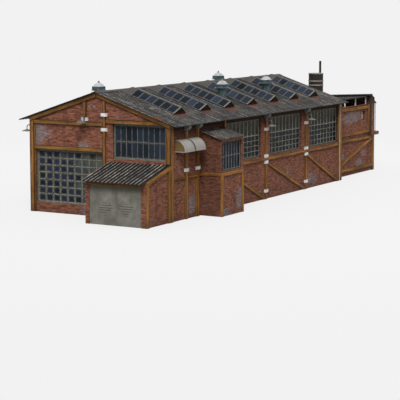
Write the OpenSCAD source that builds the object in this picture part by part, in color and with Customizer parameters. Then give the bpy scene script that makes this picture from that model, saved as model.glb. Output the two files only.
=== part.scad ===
// Brick and timber warehouse: a skylit hall with a lean-to, a bay and a two-storey annex.
// Drawn with X = 0 on the front gable brick, Y = 0 on the near long brick face and Z = 0 at the ground.

/* [Hall] */
// Length of the hall over the brick faces
hall_len = 22850; // [20000:50:26000]
// Width of the hall over the brick faces
hall_w = 9640; // [9400:20:11300]
// Thickness of the hall walls
wall_t = 370; // [300:10:450]
// Height of the roof sheets at the eaves edge
eaves_z = 5500; // [5400:20:6000]
// Height of the roof sheets at the ridge
ridge_z = 7300; // [7100:50:8200]
// Reach of the roof sheets past the near long wall
eaves_over = 515; // [350:5:700]
// Further reach of the roof sheets past the far long wall
far_extra = 260; // [0:10:300]
// Reach of the roof sheets past the gable walls
verge_over = 240; // [150:5:400]

/* [Roof sheets] */
// Width of one corrugation
wave_pitch = 265; // [180:5:360]
// Height of the corrugated sheet from valley to crest
sheet_depth = 60; // [40:2:90]
// Thickness of the sheet itself
sheet_t = 20; // [12:1:30]
// Length of the whole sheet that runs along the eaves
eaves_sheet = 1560; // [1200:20:2200]
// Width of each wing of the ridge cap
cap_wing = 250; // [150:10:300]
// Thickness of the ridge cap
cap_t = 25; // [12:1:40]
// Width of a purlin
purlin_w = 140; // [100:5:200]
// Depth of a purlin
purlin_h = 200; // [140:5:260]
// Purlins on each slope
purlin_count = 3; // [2:1:4]

/* [Skylights] */
// Distance of the first skylight from the front gable
skylight_first = 2655; // [1500:5:3000]
// Centre to centre of the skylights
skylight_pitch = 2965; // [2800:5:3050]
// Width of a skylight
skylight_w = 1300; // [900:10:1500]
// Height of a skylight above the roof's underside
skylight_h = 460; // [300:10:600]
// Height of the skylight curb above the roof's underside
curb_h = 110; // [90:5:160]
// Thickness of the skylight boards
curb_t = 60; // [40:5:80]
// Distance of a skylight's ridge from the roof's ridge, down the slope
hip_top = 680; // [500:10:900]
// Distance of the first pane from the roof's ridge, down the slope
glazing_top = 1050; // [950:10:1400]
// Thickness of the glass
glass_t = 20; // [10:1:30]

/* [Ventilators] */
// Distance of a ventilator from the ridge, measured level
vent_down = 2660; // [1800:20:3200]
// Radius of the ventilator neck
vent_r = 280; // [220:5:320]
// Height of the neck above the sheets
vent_neck_h = 640; // [450:10:800]
// Radius of the drum on the neck
vent_drum_r = 395; // [360:5:450]
// Height of the drum
vent_drum_h = 250; // [150:10:350]
// Reach of the brim round the foot of the drum
vent_brim = 60; // [30:5:80]
// Thickness of the brim
vent_brim_t = 40; // [20:5:60]
// Radius of the domed cap
vent_cap_r = 340; // [290:5:355]
// Height of the domed cap
vent_cap_h = 220; // [140:10:280]

/* [Timber frame] */
// Face width of a timber
timber_w = 200; // [150:5:240]
// How far a timber stands out of the brick
timber_t = 90; // [60:5:120]
// Width of the timber at the corners
corner_w = 260; // [200:5:320]
// Depth of the rafters on the gables, square to the slope
rafter_h = 250; // [180:5:300]
// First post on the long walls
post_1 = 1740; // [1600:10:1900]
// Second post on the long walls
post_2 = 3030; // [2900:5:3040]
// Underside of the rail on the front part of the long walls
front_rail_z = 2360; // [2000:10:2500]
// Depth of the rail on the front part of the long walls
front_rail_h = 140; // [100:10:200]
// Depth of the rail under the long windows
sill_rail_h = 180; // [120:10:240]
// Brick between the long windows and the rail under them
sill_gap = 90; // [40:5:120]
// Width of the diagonal braces
brace_w = 200; // [140:5:240]
// Wide post at the rear end of the long walls
end_post_w = 270; // [200:5:320]

/* [Long windows] */
// Width of a window in the long walls
window_w = 4560; // [4000:20:4800]
// Centre to centre of the long windows
window_pitch = 5730; // [5400:10:5800]
// Sill height of the long windows
window_sill = 2740; // [2680:10:2900]
// Head height of the long windows
window_head = 5200; // [4800:10:5300]
// Face width of a window frame
frame_w = 80; // [50:5:120]
// Depth of a window frame
frame_t = 100; // [60:5:140]
// Depth of the glass frames behind the brick face
reveal = 120; // [80:5:180]

/* [Gable windows] */
// Near edge of the large gable window and far face of the middle post
gable_split = 4510; // [4450:10:4700]
// Far pier beside the large gable window
gable_pier = 310; // [260:10:800]
// Sill height of the large gable window
large_sill = 580; // [300:10:900]
// Head height of the large gable window
large_head = 3770; // [3400:10:3900]
// Near pier beside the upper gable window
upper_pier = 300; // [260:10:500]
// Brick between the upper gable window and the middle post
upper_gap = 460; // [400:10:800]
// Sill height of the upper gable window
upper_sill = 3450; // [3400:10:3700]
// Head height of the upper gable window
upper_head = 5470; // [5000:10:5480]
// Depth of the gable tie beams
tie_h = 240; // [160:10:260]
// Underside of the tie beam over the large window side
far_tie_z = 5280; // [4800:10:5300]
// Distance of the queen post from the ridge
queen_off = 800; // [600:20:1600]

/* [Lean-to] */
// Reach of the lean-to in front of the gable
lean_out = 2515; // [2000:5:3000]
// Width of the lean-to
lean_w = 4070; // [3600:10:4200]
// Height of the lean-to sheets at their front edge
lean_edge_z = 2500; // [2300:10:2700]
// Height of the lean-to sheets at the gable
lean_top_z = 3300; // [3000:10:3380]
// Reach of the lean-to sheets past its front
lean_over = 400; // [200:10:500]
// Thickness of the lean-to walls
lean_wall_t = 250; // [200:10:300]
// Width of the near brick pier beside the panel
lean_pier = 340; // [300:10:600]
// Height of the rendered panel
panel_h = 2250; // [1900:10:2280]
// Depth of the panel behind the brick face
panel_back = 60; // [20:5:100]
// Thickness of the rendered panel
panel_t = 150; // [100:10:200]

/* [Bay] */
// Front edge of the bay along the hall
bay_x = 3410; // [3400:10:3500]
// Width of the bay
bay_w = 2570; // [2400:10:2800]
// Reach of the bay out of the long wall
bay_out = 1430; // [1200:10:1800]
// Thickness of the bay walls
bay_wall_t = 230; // [180:10:260]
// Brick strip on each side of the bay window
bay_strip = 60; // [40:10:160]
// Sill height of the bay window
bay_sill = 2640; // [2600:10:2800]
// Head height of the bay window
bay_head = 4360; // [4000:10:4380]
// Height of the bay sheets at their front edge
bay_edge_z = 4550; // [4500:10:4600]
// Height of the bay sheets at the long wall
bay_top_z = 5030; // [4800:10:5080]
// Reach of the bay sheets past its front
bay_front_over = 60; // [60:10:400]
// Reach of the bay sheets past its sides
bay_side_over = 170; // [80:10:180]
// Depth of the timber rail round the bay
bay_rail_h = 190; // [120:10:220]
// Brick between the bay window and the rail round the bay
bay_rail_gap = 80; // [60:10:200]
// How far the bay's timbers stand out of its brick
bay_timber_t = 50; // [30:5:60]

/* [Annex] */
// Length of the annex lower storey
annex_len = 7250; // [6600:50:8000]
// Set-back of the annex from the long walls
annex_in = 660; // [400:10:1200]
// Thickness of the annex walls
annex_wall_t = 300; // [250:10:350]
// Top of the annex floor slab
annex_floor_z = 2860; // [2700:10:3000]
// Thickness of the annex floor slab
slab_t = 240; // [160:10:300]
// Top of the annex parapet
parapet_z = 4940; // [4800:10:5000]
// Rise of the parapet above the flat roof
parapet_h = 40; // [20:5:60]
// Thickness of the annex flat roof
deck_t = 200; // [150:10:260]
// Set-back of the upper end wall's outer face from the lower one
end_in = 330; // [250:10:500]
// Thickness of the upper end wall
end_t = 570; // [400:10:700]
// Height of the upper end wall
end_z = 5580; // [5400:10:5700]
// Height of the annex plinth
plinth_h = 290; // [200:10:400]
// Reach of the annex plinth past the end wall
plinth_out = 140; // [80:10:200]
// Depth of the annex rails
annex_rail_h = 220; // [160:10:280]
// Brick between the upper rail of the annex and its parapet top
parapet_strip = 80; // [40:5:120]
// Brick between the upper end post and the end wall of the annex
end_strip = 30; // [20:5:60]
// Width of the posts at the annex end
annex_post_w = 350; // [250:10:400]
// Width of the annex window
annex_win_w = 650; // [500:10:900]
// Height of the annex window
annex_win_h = 680; // [500:10:900]
// Sill height of the annex window above its floor
annex_win_sill = 950; // [700:10:1000]
// Distance of the annex window from the upper end wall
annex_win_in = 590; // [500:10:900]

/* [Annex cover and balcony] */
// Gap between the parapet and the raised corrugated cover
cover_gap = 540; // [400:10:700]
// Distance of the cover from the hall
cover_in = 2250; // [2240:10:2600]
// Gap between the cover and the upper end wall
cover_clear = 20; // [10:5:100]
// Reach of the cover past the annex's long faces
cover_over = 30; // [0:10:100]
// Fall of the cover from the near face of the annex to the far one
cover_fall = 420; // [0:10:440]
// Width of the flat flashing that lies on the end wall and over the cover's end
flash_w = 610; // [300:10:800]
// Thickness of the flashing
flash_t = 100; // [40:5:120]
// Side of a slim steel post under the cover
slim_post = 70; // [50:5:100]
// Side of a post under the balcony canopy
balcony_post = 45; // [40:5:90]
// Distance of the slim posts from the ends of the cover
slim_in = 220; // [120:10:400]
// Reach of the balcony past the lower end wall
balcony_out = 520; // [400:10:800]
// Length of the balcony along the end wall
balcony_len = 5300; // [3500:50:6500]
// Fall of the canopy over each metre
canopy_fall = 546; // [300:2:600]
// Edge of the canopy behind the edge of the balcony
canopy_back = 30; // [0:5:100]
// Seat of the canopy on the end wall
canopy_seat = 390; // [200:10:400]
// Thickness of the canopy sheet
canopy_t = 40; // [20:2:60]
// Width of the balcony door
door_w = 950; // [800:10:1100]
// Height of the balcony door
door_h = 2000; // [1800:10:2100]
// Thickness of the balcony door
door_t = 60; // [40:5:80]

/* [Stack and mast] */
// Distance of the stack from the hall
stack_x = 1450; // [1300:10:1460]
// Distance of the stack from the annex front
stack_in = 1970; // [1500:10:2600]
// Radius of the stack
stack_r = 515; // [400:5:520]
// Top of the stack
stack_z = 7330; // [6400:10:8000]
// Height of a stack hoop
hoop_h = 90; // [60:5:120]
// How far a hoop stands out of the stack
hoop_t = 25; // [15:5:40]
// Top of the lower and upper hoop below the stack's top
hoop_drop = [830, 540];
// Radius of the flue beside the stack
flue_r = 120; // [80:5:150]
// Distance of the flue from the stack
flue_out = 230; // [180:10:300]
// Height of the straight part of the flue
flue_rise = 450; // [300:10:700]
// Radius of the mast pipe
mast_r = 80; // [50:5:90]
// Gap between the stack and the mast pipe
mast_gap = 95; // [60:5:100]
// Top of the mast pipe
mast_z = 8220; // [7600:10:8600]

/* [Awnings] */
// Width of a barrel awning
awning_w = 1040; // [900:10:1060]
// Reach of an awning out of the wall
awning_out = 650; // [500:10:800]
// Height of an awning
awning_h = 660; // [500:10:750]
// Underside of an awning
awning_z = 4000; // [3600:10:4200]
// Thickness of the awning shell
awning_t = 30; // [20:5:50]

/* [Metalwork] */
// Width of a steel band on a post
band_w = 400; // [320:10:460]
// Height of a steel band
band_h = 190; // [160:5:260]
// Thickness of a steel band
band_t = 20; // [12:1:30]
// Width of an eaves bracket
bracket_w = 340; // [280:10:400]
// Reach of an eaves bracket out of the wall
bracket_out = 300; // [200:10:340]
// Height of an eaves bracket at the wall
bracket_h = 470; // [300:10:520]
// Radius of a lamp shade
shade_r = 300; // [180:10:320]
// Height of a lamp shade
shade_h = 110; // [80:5:160]
// Thickness of a lamp shade
shade_t = 15; // [8:1:20]
// Reach of a lamp from the post to the middle of its shade
lamp_reach = 345; // [335:5:450]
// Radius of a lamp arm
lamp_arm_r = 28; // [18:1:34]
// Foot of the lamps on the long wall's posts
pier_lamp_z = 4880; // [4700:10:5000]
// Foot of the lamp on the front gable
gable_lamp_z = 5720; // [5710:10:5760]
// Foot of the lamp at the far front corner
corner_lamp_z = 5000; // [4600:10:5200]
// Top band on the posts between the windows
top_band_z = 4455; // [3600:5:4500]
// Lowest band on the posts between the windows
low_band_z = 525; // [400:5:1200]
// Bands on the first two posts of the long wall
front_band_z = 2850; // [2700:10:3000]
// Bands on the middle post of the front gable
gable_band_z = [5970, 5110];

/* [Hidden] */
$fn = 64;

brick = "#7a4436";
timber = "#8a5a2b";
sheet_grey = "#55565a";
glass_blue = "#28323f";
steel_white = "#d8d8d4";
steel_grey = "#8d9094";
render_grey = "#84857c";
canvas_cream = "#c9c4b4";
dark_iron = "#3a3732";

// Small gap that keeps like solids apart and a small reach past a face that is cut
apart = 4;
past = 10;

// Main roof: ridge line, pitch, underside and the length of a slope
ridge_y = (hall_w + far_extra) / 2;
roof_a = atan((ridge_z - eaves_z) / (ridge_y + eaves_over));
ridge_under = ridge_z - sheet_depth / cos(roof_a);
slope_len = (ridge_y + eaves_over) / cos(roof_a);
upper_len = slope_len - eaves_sheet;
rafter_drop = rafter_h / cos(roof_a);
function roof_under(y) = ridge_under - abs(y - ridge_y) * tan(roof_a);
far_lift = roof_under(hall_w) - roof_under(0);

// Skylights that fit between the gables, and the ventilators halfway between them
sky_count = 1 + floor((hall_len - wall_t - skylight_w / 2 - skylight_first) / skylight_pitch);
function skylight_x(i) = skylight_first + i * skylight_pitch;
function vent_x(i) = skylight_x(i) + skylight_pitch / 2;

// Vents stand after these skylights, on the near slope and on the far one
near_vents = [2, 4];
far_vents = [0, 5];

// Lean-to, bay and their roofs
lean_a = atan((lean_top_z - lean_edge_z) / (lean_out + lean_over));
bay_a = atan((bay_top_z - bay_edge_z) / (bay_out + bay_front_over));
bay_end = bay_x + bay_w;
function lean_under(x) = lean_top_z - sheet_depth / cos(lean_a) + x * tan(lean_a);
function bay_under(y) = bay_top_z - sheet_depth / cos(bay_a) + y * tan(bay_a);

// Long windows, counted from the rear gable, and the posts on the long walls
pier_w = window_pitch - window_w;
bay_post = bay_end + bay_side_over + past + timber_w / 2;
window_end = hall_len - wall_t;
window_count = floor((window_end - bay_post - timber_w / 2 + pier_w) / window_pitch);
window_first = window_end - (window_count - 1) * window_pitch - window_w;
function window_x(i) = window_first + i * window_pitch;
pier_posts = [for (i = [1 : window_count - 1]) window_x(i) - pier_w / 2];
slim_centres = concat([post_1, post_2, bay_post], pier_posts);
end_post = [hall_len - timber_w - apart - end_post_w, hall_len - timber_w - apart];
side_post_spans = concat(
    [[0, corner_w]],
    [for (x = slim_centres) [x - timber_w / 2, x + timber_w / 2]],
    [end_post, [hall_len - timber_w, hall_len]]
);
bracket_posts = concat([post_1, post_2], pier_posts);
sill_rail_z = window_sill - sill_gap - sill_rail_h;
bracket_z = roof_under(0) - bracket_h;

// Gable timbers
mid_post = [gable_split - timber_w, gable_split];
large_end = hall_w - gable_pier;
upper_end = gable_split - upper_gap - timber_w;
near_tie_z = upper_head + past;
queen = [ridge_y + queen_off - timber_w / 2, ridge_y + queen_off + timber_w / 2];

// Annex
annex_end = hall_len + annex_len;
annex_far = hall_w - annex_in;
slab_z = annex_floor_z - slab_t;
upper_end_x = [annex_end - end_in - end_t, annex_end - end_in];
deck_z = parapet_z - parapet_h;
cover_z = parapet_z + cover_gap;
cover_x = [hall_len + cover_in, upper_end_x[0] - cover_clear];
cover_y = [annex_in - cover_over, annex_far + cover_over];
cover_a = atan(cover_fall / (cover_y[1] - cover_y[0]));
function cover_under(y) = cover_z - (y - cover_y[0]) * tan(cover_a);
canopy_x = [upper_end_x[1] - canopy_seat, annex_end + balcony_out - canopy_back];
balcony_y = [annex_in, annex_in + balcony_len];
slim_x = annex_end + balcony_out - balcony_post * 2;
function canopy_under(x) = end_z - (x - canopy_x[0]) * canopy_fall / 1000;
annex_window = [upper_end_x[0] - annex_win_in - annex_win_w, upper_end_x[0] - annex_win_in];
annex_win_z = [annex_floor_z + annex_win_sill, annex_floor_z + annex_win_sill + annex_win_h];
annex_rail_x = [hall_len + timber_t + timber_w, annex_end - annex_post_w];
annex_upper_x = [annex_rail_x[0], upper_end_x[0] - end_strip - timber_w];
annex_rails_z = [plinth_h, slab_z - annex_rail_h];
annex_upper_z = [annex_floor_z, parapet_z - parapet_strip - annex_rail_h];
door_y = balcony_y[0] + balcony_len / 2 - door_w / 2;
stack_at = [hall_len + stack_x, annex_in + stack_in];
mast_at = [stack_at[0] + stack_r + mast_gap + mast_r, stack_at[1]];

// Middle of the whole building's box, which becomes the origin
box_x = [
    -lean_out - lean_over - sheet_depth * sin(lean_a),
    annex_end + balcony_out,
];
box_y = [
    -bay_out - bay_front_over - sheet_depth * sin(bay_a),
    hall_w + max(eaves_over + far_extra + sheet_depth * sin(roof_a), timber_t + lamp_reach + shade_r),
];
centre = [(box_x[0] + box_x[1]) / 2, (box_y[0] + box_y[1]) / 2, 0];

// Moves a piece from the drawing frame to the part's own origin
module placed() {
    translate(-centre)
        children();
}

// Box between two limits along each axis
module span(x, y, z) {
    translate([x[0], y[0], z[0]])
        cube([x[1] - x[0], y[1] - y[0], z[1] - z[0]]);
}

// Outline drawn in Y and Z, carried along X
module along_x(x) {
    translate([x[0], 0, 0])
        rotate([90, 0, 90])
            linear_extrude(x[1] - x[0])
                children();
}

// Outline drawn in X and Z, carried along Y
module along_y(y) {
    translate([0, y[1], 0])
        rotate([90, 0, 0])
            linear_extrude(y[1] - y[0])
                children();
}

// Rectangle between two limits
module patch(u, v) {
    translate([u[0], v[0]])
        square([u[1] - u[0], v[1] - v[0]]);
}

// Repeats a piece of the near long wall on the far one
module far_side() {
    translate([0, hall_w, 0])
        mirror([0, 1, 0])
            children();
}

// Frame on a roof slope: X along the ridge, Y up the slope from the ridge line, Z out of the roof
module on_slope(far) {
    translate([0, ridge_y, ridge_under])
        mirror([0, far ? 1 : 0, 0])
            rotate([roof_a, 0, 0])
                children();
}

// Outline carried down a slope from one distance to another
module down_slope(v) {
    translate([0, -v[0], 0])
        rotate([90, 0, 0])
            linear_extrude(v[1] - v[0])
                children();
}

// Corrugated sheet section from crest to crest, with flat crests and valleys
module wave(x) {
    count = round((x[1] - x[0]) / wave_pitch);
    pitch = (x[1] - x[0]) / count;
    rise = sheet_depth - sheet_t;
    turns = [[0, rise], [0.28, rise], [0.5, 0], [0.78, 0]];
    line = concat(
        [for (i = [0 : count - 1]) for (t = turns) [x[0] + (i + t[0]) * pitch, t[1]]],
        [[x[1], rise]]
    );
    last = len(line) - 1;
    upper = [for (p = line) [p[0], p[1] + sheet_t]];
    lower = [for (i = [0 : last]) line[last - i]];
    polygon(concat(upper, lower));
}

// Ring of a window frame in its own plane
module ring(u, v) {
    difference() {
        patch(u, v);
        patch([u[0] + frame_w, u[1] - frame_w], [v[0] + frame_w, v[1] - frame_w]);
    }
}

// Area under the gable rafters, drawn in Y and Z
module under_rafters() {
    reach = eaves_over;
    polygon([
        [-reach, 0],
        [hall_w + reach, 0],
        [hall_w + reach, roof_under(hall_w + reach) - rafter_drop],
        [ridge_y, ridge_under - rafter_drop],
        [-reach, roof_under(-reach) - rafter_drop],
    ]);
}

// Timber on a gable face, cut off under the rafters
module gable_timber(x, y, z) {
    along_x(x)
        intersection() {
            patch(y, z);
            under_rafters();
        }
}

// Outline of a gable wall in Y and Z
module gable_outline() {
    polygon([
        [0, 0],
        [hall_w, 0],
        [hall_w, roof_under(hall_w)],
        [ridge_y, ridge_under],
        [0, roof_under(0)],
    ]);
}

module front_gable_wall() {
    color(brick)
        placed()
            along_x([0, wall_t])
                difference() {
                    gable_outline();
                    patch([gable_split, large_end], [large_sill, large_head]);
                    patch([upper_pier, upper_end], [upper_sill, upper_head]);
                }
}

module rear_gable_wall() {
    color(brick)
        placed()
            along_x([hall_len - wall_t, hall_len])
                gable_outline();
}

// Lower part of a long wall, with or without the way into the bay
module lower_wall(bay) {
    x = [wall_t, hall_len - wall_t];
    along_y([0, wall_t])
        difference() {
            patch(x, [0, window_sill]);
            if (bay)
                patch([bay_x + bay_wall_t, bay_end - bay_wall_t], [-past, window_sill + past]);
        }
}

// Upper part of a long wall: the plain front stretch and the piers between the windows
module upper_wall(bay) {
    z = [window_sill, window_head];
    along_y([0, wall_t])
        difference() {
            union() {
                patch([wall_t, window_first], z);
                for (i = [1 : window_count - 1])
                    patch([window_x(i) - pier_w, window_x(i)], z);
            }
            if (bay)
                patch([bay_x + bay_wall_t, bay_end - bay_wall_t], [window_sill - past, bay_head]);
        }
}

module near_lower_wall() {
    color(brick)
        placed()
            lower_wall(true);
}

module near_upper_wall() {
    color(brick)
        placed()
            upper_wall(true);
}

module far_lower_wall() {
    color(brick)
        placed()
            far_side()
                lower_wall(false);
}

module far_upper_wall() {
    color(brick)
        placed()
            far_side()
                upper_wall(false);
}

// Plate on top of a long wall, sloped to carry the sheets, with its top lifted to the roof there
module wall_plate(lift) {
    along_x([wall_t, hall_len - wall_t])
        polygon([
            [0, window_head],
            [wall_t, window_head],
            [wall_t, roof_under(wall_t) + lift],
            [0, roof_under(0) + lift],
        ]);
}

module wall_plates() {
    color(timber)
        placed() {
            wall_plate(0);
            far_side()
                wall_plate(far_lift);
        }
}

module gable_posts() {
    front = [-timber_t, 0];
    rear = [hall_len, hall_len + timber_t];
    color(timber)
        placed() {
            gable_timber(front, [-timber_t, timber_w], [lean_top_z, ridge_z]);
            gable_timber(front, mid_post, [0, ridge_z]);
            gable_timber(front, queen, [far_tie_z + tie_h, ridge_z]);
            gable_timber(front, [hall_w - timber_w, hall_w + timber_t], [0, ridge_z]);
            gable_timber(rear, [-timber_t, timber_w], [0, ridge_z]);
            gable_timber(rear, [hall_w - timber_w, hall_w + timber_t], [0, ridge_z]);
        }
}

module gable_ties() {
    front = [-timber_t, 0];
    far_stretch = [mid_post[1], hall_w - timber_w];
    color(timber)
        placed() {
            gable_timber(front, far_stretch, [far_tie_z, far_tie_z + tie_h]);
            gable_timber(front, far_stretch, [large_head, large_head + tie_h]);
            gable_timber(front, [timber_w, mid_post[0]], [near_tie_z, near_tie_z + tie_h]);
        }
}

// Rafter of a gable, from its foot beside a long wall to the ridge
module gable_rafter(x, foot) {
    head = ridge_y + sign(foot - ridge_y) * apart / 2;
    along_x(x)
        polygon([
            [foot, roof_under(foot)],
            [head, roof_under(head)],
            [head, roof_under(head) - rafter_drop],
            [foot, roof_under(foot) - rafter_drop],
        ]);
}

module gable_rafters() {
    color(timber)
        placed()
            for (x = [[-timber_t, 0], [hall_len, hall_len + timber_t]])
                for (foot = [-timber_t, hall_w + timber_t])
                    gable_rafter(x, foot);
}

// Posts of one long wall; those with an eaves bracket stop under it
module wall_posts(lift) {
    for (s = side_post_spans) {
        bracketed = len(search((s[0] + s[1]) / 2, bracket_posts)) > 0;
        top = bracketed ? bracket_z : roof_under(-timber_t);
        span(s, [-timber_t, 0], [0, top + lift]);
    }
}

// Posts on one long face of the annex, storey by storey
module annex_posts() {
    along_y([annex_in - timber_t, annex_in]) {
        patch([hall_len + timber_t, annex_rail_x[0]], [0, slab_z]);
        patch([annex_rail_x[1], annex_end], [0, slab_z]);
        patch([hall_len + timber_t, annex_rail_x[0]], [annex_floor_z, parapet_z]);
        patch([annex_upper_x[1], annex_upper_x[1] + timber_w], [annex_floor_z, parapet_z]);
    }
}

module side_posts() {
    color(timber)
        placed() {
            wall_posts(0);
            annex_posts();
            far_side() {
                wall_posts(far_lift);
                annex_posts();
            }
        }
}

// Rails of one long wall, from post to post
module wall_rails(bay) {
    y = [-timber_t, 0];
    front_z = [front_rail_z, front_rail_z + front_rail_h];
    sill_z = [sill_rail_z, sill_rail_z + sill_rail_h];
    s = side_post_spans;
    for (i = [0 : 1])
        span([s[i][1], s[i + 1][0]], y, front_z);
    span([s[2][1], bay ? bay_x : s[3][0]], y, front_z);
    for (i = [3 : len(s) - 3])
        span([s[i][1], s[i + 1][0]], y, sill_z);
}

// Rails on one long face of the annex, from post to post
module annex_rails() {
    along_y([annex_in - timber_t, annex_in]) {
        for (z = annex_rails_z)
            patch(annex_rail_x, [z, z + annex_rail_h]);
        for (z = annex_upper_z)
            patch(annex_upper_x, [z, z + annex_rail_h]);
    }
}

module side_rails() {
    color(timber)
        placed() {
            wall_rails(true);
            annex_rails();
            far_side() {
                wall_rails(false);
                annex_rails();
            }
        }
}

// Diagonal that falls from one corner of a panel to the other, drawn in X and Z
module diagonal(x, z, rising) {
    run = x[1] - x[0];
    rise = z[1] - z[0];
    slant = atan2(rise, run);
    low = rising ? x[0] : x[1];
    intersection() {
        patch(x, z);
        translate([low, z[0]])
            mirror([rising ? 0 : 1, 0])
                rotate(slant)
                    translate([-run, -brace_w / 2])
                        square([run * 3, brace_w]);
    }
}

// Braces of one long wall, from below one post's bands to the foot of the next post
module wall_braces() {
    s = side_post_spans;
    clear = (band_w - timber_w) / 2 + band_t;
    for (i = [3 : len(s) - 3])
        along_y([-timber_t, 0])
            diagonal([s[i][1] + clear, s[i + 1][0]], [0, sill_rail_z - band_h], false);
}

// Brace across the lower storey of the annex
module annex_brace() {
    along_y([annex_in - timber_t, annex_in])
        diagonal(annex_rail_x, [annex_rails_z[0] + annex_rail_h, annex_rails_z[1]], true);
}

module side_braces() {
    color(timber)
        placed() {
            wall_braces();
            annex_brace();
            far_side() {
                wall_braces();
                annex_brace();
            }
        }
}

// Windows of one long wall
module long_windows(deep) {
    for (i = [0 : window_count - 1])
        along_y(deep)
            window_face([window_x(i), window_x(i) + window_w], [window_sill, window_head]);
}

// All windows of the building, as frames or as panes
module windows(glazed, deep) {
    $glazed = glazed;
    long_windows(deep);
    far_side()
        long_windows(deep);
    along_x(deep) {
        window_face([gable_split, large_end], [large_sill, large_head]);
        window_face([upper_pier, upper_end], [upper_sill, upper_head]);
    }
    translate([0, -bay_out, 0])
        along_y(deep)
            window_face([bay_x + bay_strip, bay_end - bay_strip], [bay_sill, bay_head]);
    translate([0, annex_in, 0])
        along_y(deep)
            window_face(annex_window, annex_win_z);
}

// One window in its own plane: its frame, or the pane inside it
module window_face(u, v) {
    if ($glazed)
        patch([u[0] + frame_w, u[1] - frame_w], [v[0] + frame_w, v[1] - frame_w]);
    else
        ring(u, v);
}

module window_frames() {
    color(steel_grey)
        placed()
            windows(false, [reveal, reveal + frame_t]);
}

module window_glass() {
    middle = reveal + frame_t / 2;
    color(glass_blue)
        placed()
            windows(true, [middle - glass_t / 2, middle + glass_t / 2]);
}

// Purlins of one slope, from gable to gable under the sheets
module slope_purlins(far) {
    step = (slope_len - eaves_over) / (purlin_count + 1);
    on_slope(far)
        for (i = [1 : purlin_count])
            span(
                [wall_t, hall_len - wall_t],
                [-i * step - purlin_w / 2, -i * step + purlin_w / 2],
                [-purlin_h, 0]
            );
}

module purlins() {
    color(timber)
        placed() {
            slope_purlins(false);
            slope_purlins(true);
        }
}

sheet_x = [-verge_over, hall_len + verge_over];

module eaves_sheets() {
    color(sheet_grey)
        placed()
            for (far = [false, true])
                on_slope(far)
                    down_slope([upper_len, slope_len])
                        wave(sheet_x);
}

module upper_sheets() {
    color(sheet_grey)
        placed()
            for (far = [false, true])
                on_slope(far)
                    down_slope([apart, upper_len])
                        difference() {
                            wave(sheet_x);
                            if (!far)
                                for (i = [0 : sky_count - 1])
                                    translate([skylight_x(i) - skylight_w / 2, -past])
                                        square([skylight_w, sheet_depth + past * 2]);
                        }
}

module ridge_cap() {
    reach = cap_wing * cos(roof_a);
    fall = cap_wing * sin(roof_a);
    color(sheet_grey)
        placed()
            along_x(sheet_x)
                polygon([
                    [ridge_y, ridge_z],
                    [ridge_y + reach, ridge_z - fall],
                    [ridge_y + reach, ridge_z - fall + cap_t],
                    [ridge_y, ridge_z + cap_t],
                    [ridge_y - reach, ridge_z - fall + cap_t],
                    [ridge_y - reach, ridge_z - fall],
                ]);
}

// Skylight section: half width, pane slope and the height of the pane's top at a distance from the middle
sky_half = skylight_w / 2;
sky_fall = (skylight_h - curb_h) / sky_half;
ridge_bar = curb_t / 2;
function pane_top(x) = skylight_h - x * sky_fall;

// Closed end of a skylight
module skylight_end() {
    polygon([
        [-sky_half, 0],
        [sky_half, 0],
        [sky_half, curb_h],
        [ridge_bar, pane_top(ridge_bar)],
        [0, skylight_h],
        [-ridge_bar, pane_top(ridge_bar)],
        [-sky_half, curb_h],
    ]);
}

// Side board of a skylight, cut to carry the pane
module skylight_board() {
    inner = sky_half - curb_t;
    polygon([
        [inner, 0],
        [sky_half, 0],
        [sky_half, pane_top(sky_half) - glass_t],
        [inner, pane_top(inner) - glass_t],
    ]);
}

// Bar along the top of a skylight
module skylight_ridge() {
    polygon([
        [-ridge_bar, pane_top(ridge_bar) - curb_t],
        [ridge_bar, pane_top(ridge_bar) - curb_t],
        [ridge_bar, pane_top(ridge_bar)],
        [0, skylight_h],
        [-ridge_bar, pane_top(ridge_bar)],
    ]);
}

// Pane on one side of a skylight
module skylight_pane() {
    polygon([
        [ridge_bar, pane_top(ridge_bar) - glass_t],
        [sky_half, pane_top(sky_half) - glass_t],
        [sky_half, pane_top(sky_half)],
        [ridge_bar, pane_top(ridge_bar)],
    ]);
}

// Runs its children at every skylight on the near slope
module at_skylights() {
    on_slope(false)
        for (i = [0 : sky_count - 1])
            translate([skylight_x(i), 0, 0])
                children();
}

// A skylight from the ridge cap's lower edge to the eaves sheets, glazed below its hip
hip_v = [cap_wing + past, glazing_top];
sky_v = [glazing_top, upper_len];

module skylight_frames() {
    color(timber)
        placed()
            at_skylights() {
                down_slope([sky_v[1] - curb_t, sky_v[1]])
                    skylight_end();
                down_slope(sky_v) {
                    skylight_board();
                    mirror([1, 0])
                        skylight_board();
                    skylight_ridge();
                }
            }
}

module skylight_glass() {
    color(glass_blue)
        placed()
            at_skylights()
                down_slope([sky_v[0], sky_v[1] - curb_t]) {
                    skylight_pane();
                    mirror([1, 0])
                        skylight_pane();
                }
}

// Hip at the top of a skylight, and its hollow when drawn smaller by the thickness of its walls
module hip_block(inset) {
    cut = inset > 0 ? past : 0;
    top = hip_v[0] + inset;
    side = sky_half - inset;
    slant = inset / cos(atan(sky_fall));
    difference() {
        down_slope([top, hip_v[1] + cut])
            polygon([
                [-side, -cut],
                [side, -cut],
                [side, pane_top(side) - slant],
                [0, skylight_h - slant],
                [-side, pane_top(side) - slant],
            ]);
        along_x([-skylight_w, skylight_w])
            polygon([
                [-top, curb_h - inset],
                [-hip_top - inset, skylight_h - inset],
                [-hip_top - inset, skylight_h * 2],
                [-top + past, skylight_h * 2],
                [-top + past, curb_h - inset],
            ]);
    }
}

module skylight_hips() {
    color(sheet_grey)
        placed()
            at_skylights()
                difference() {
                    hip_block(0);
                    hip_block(curb_t);
                }
}

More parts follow.
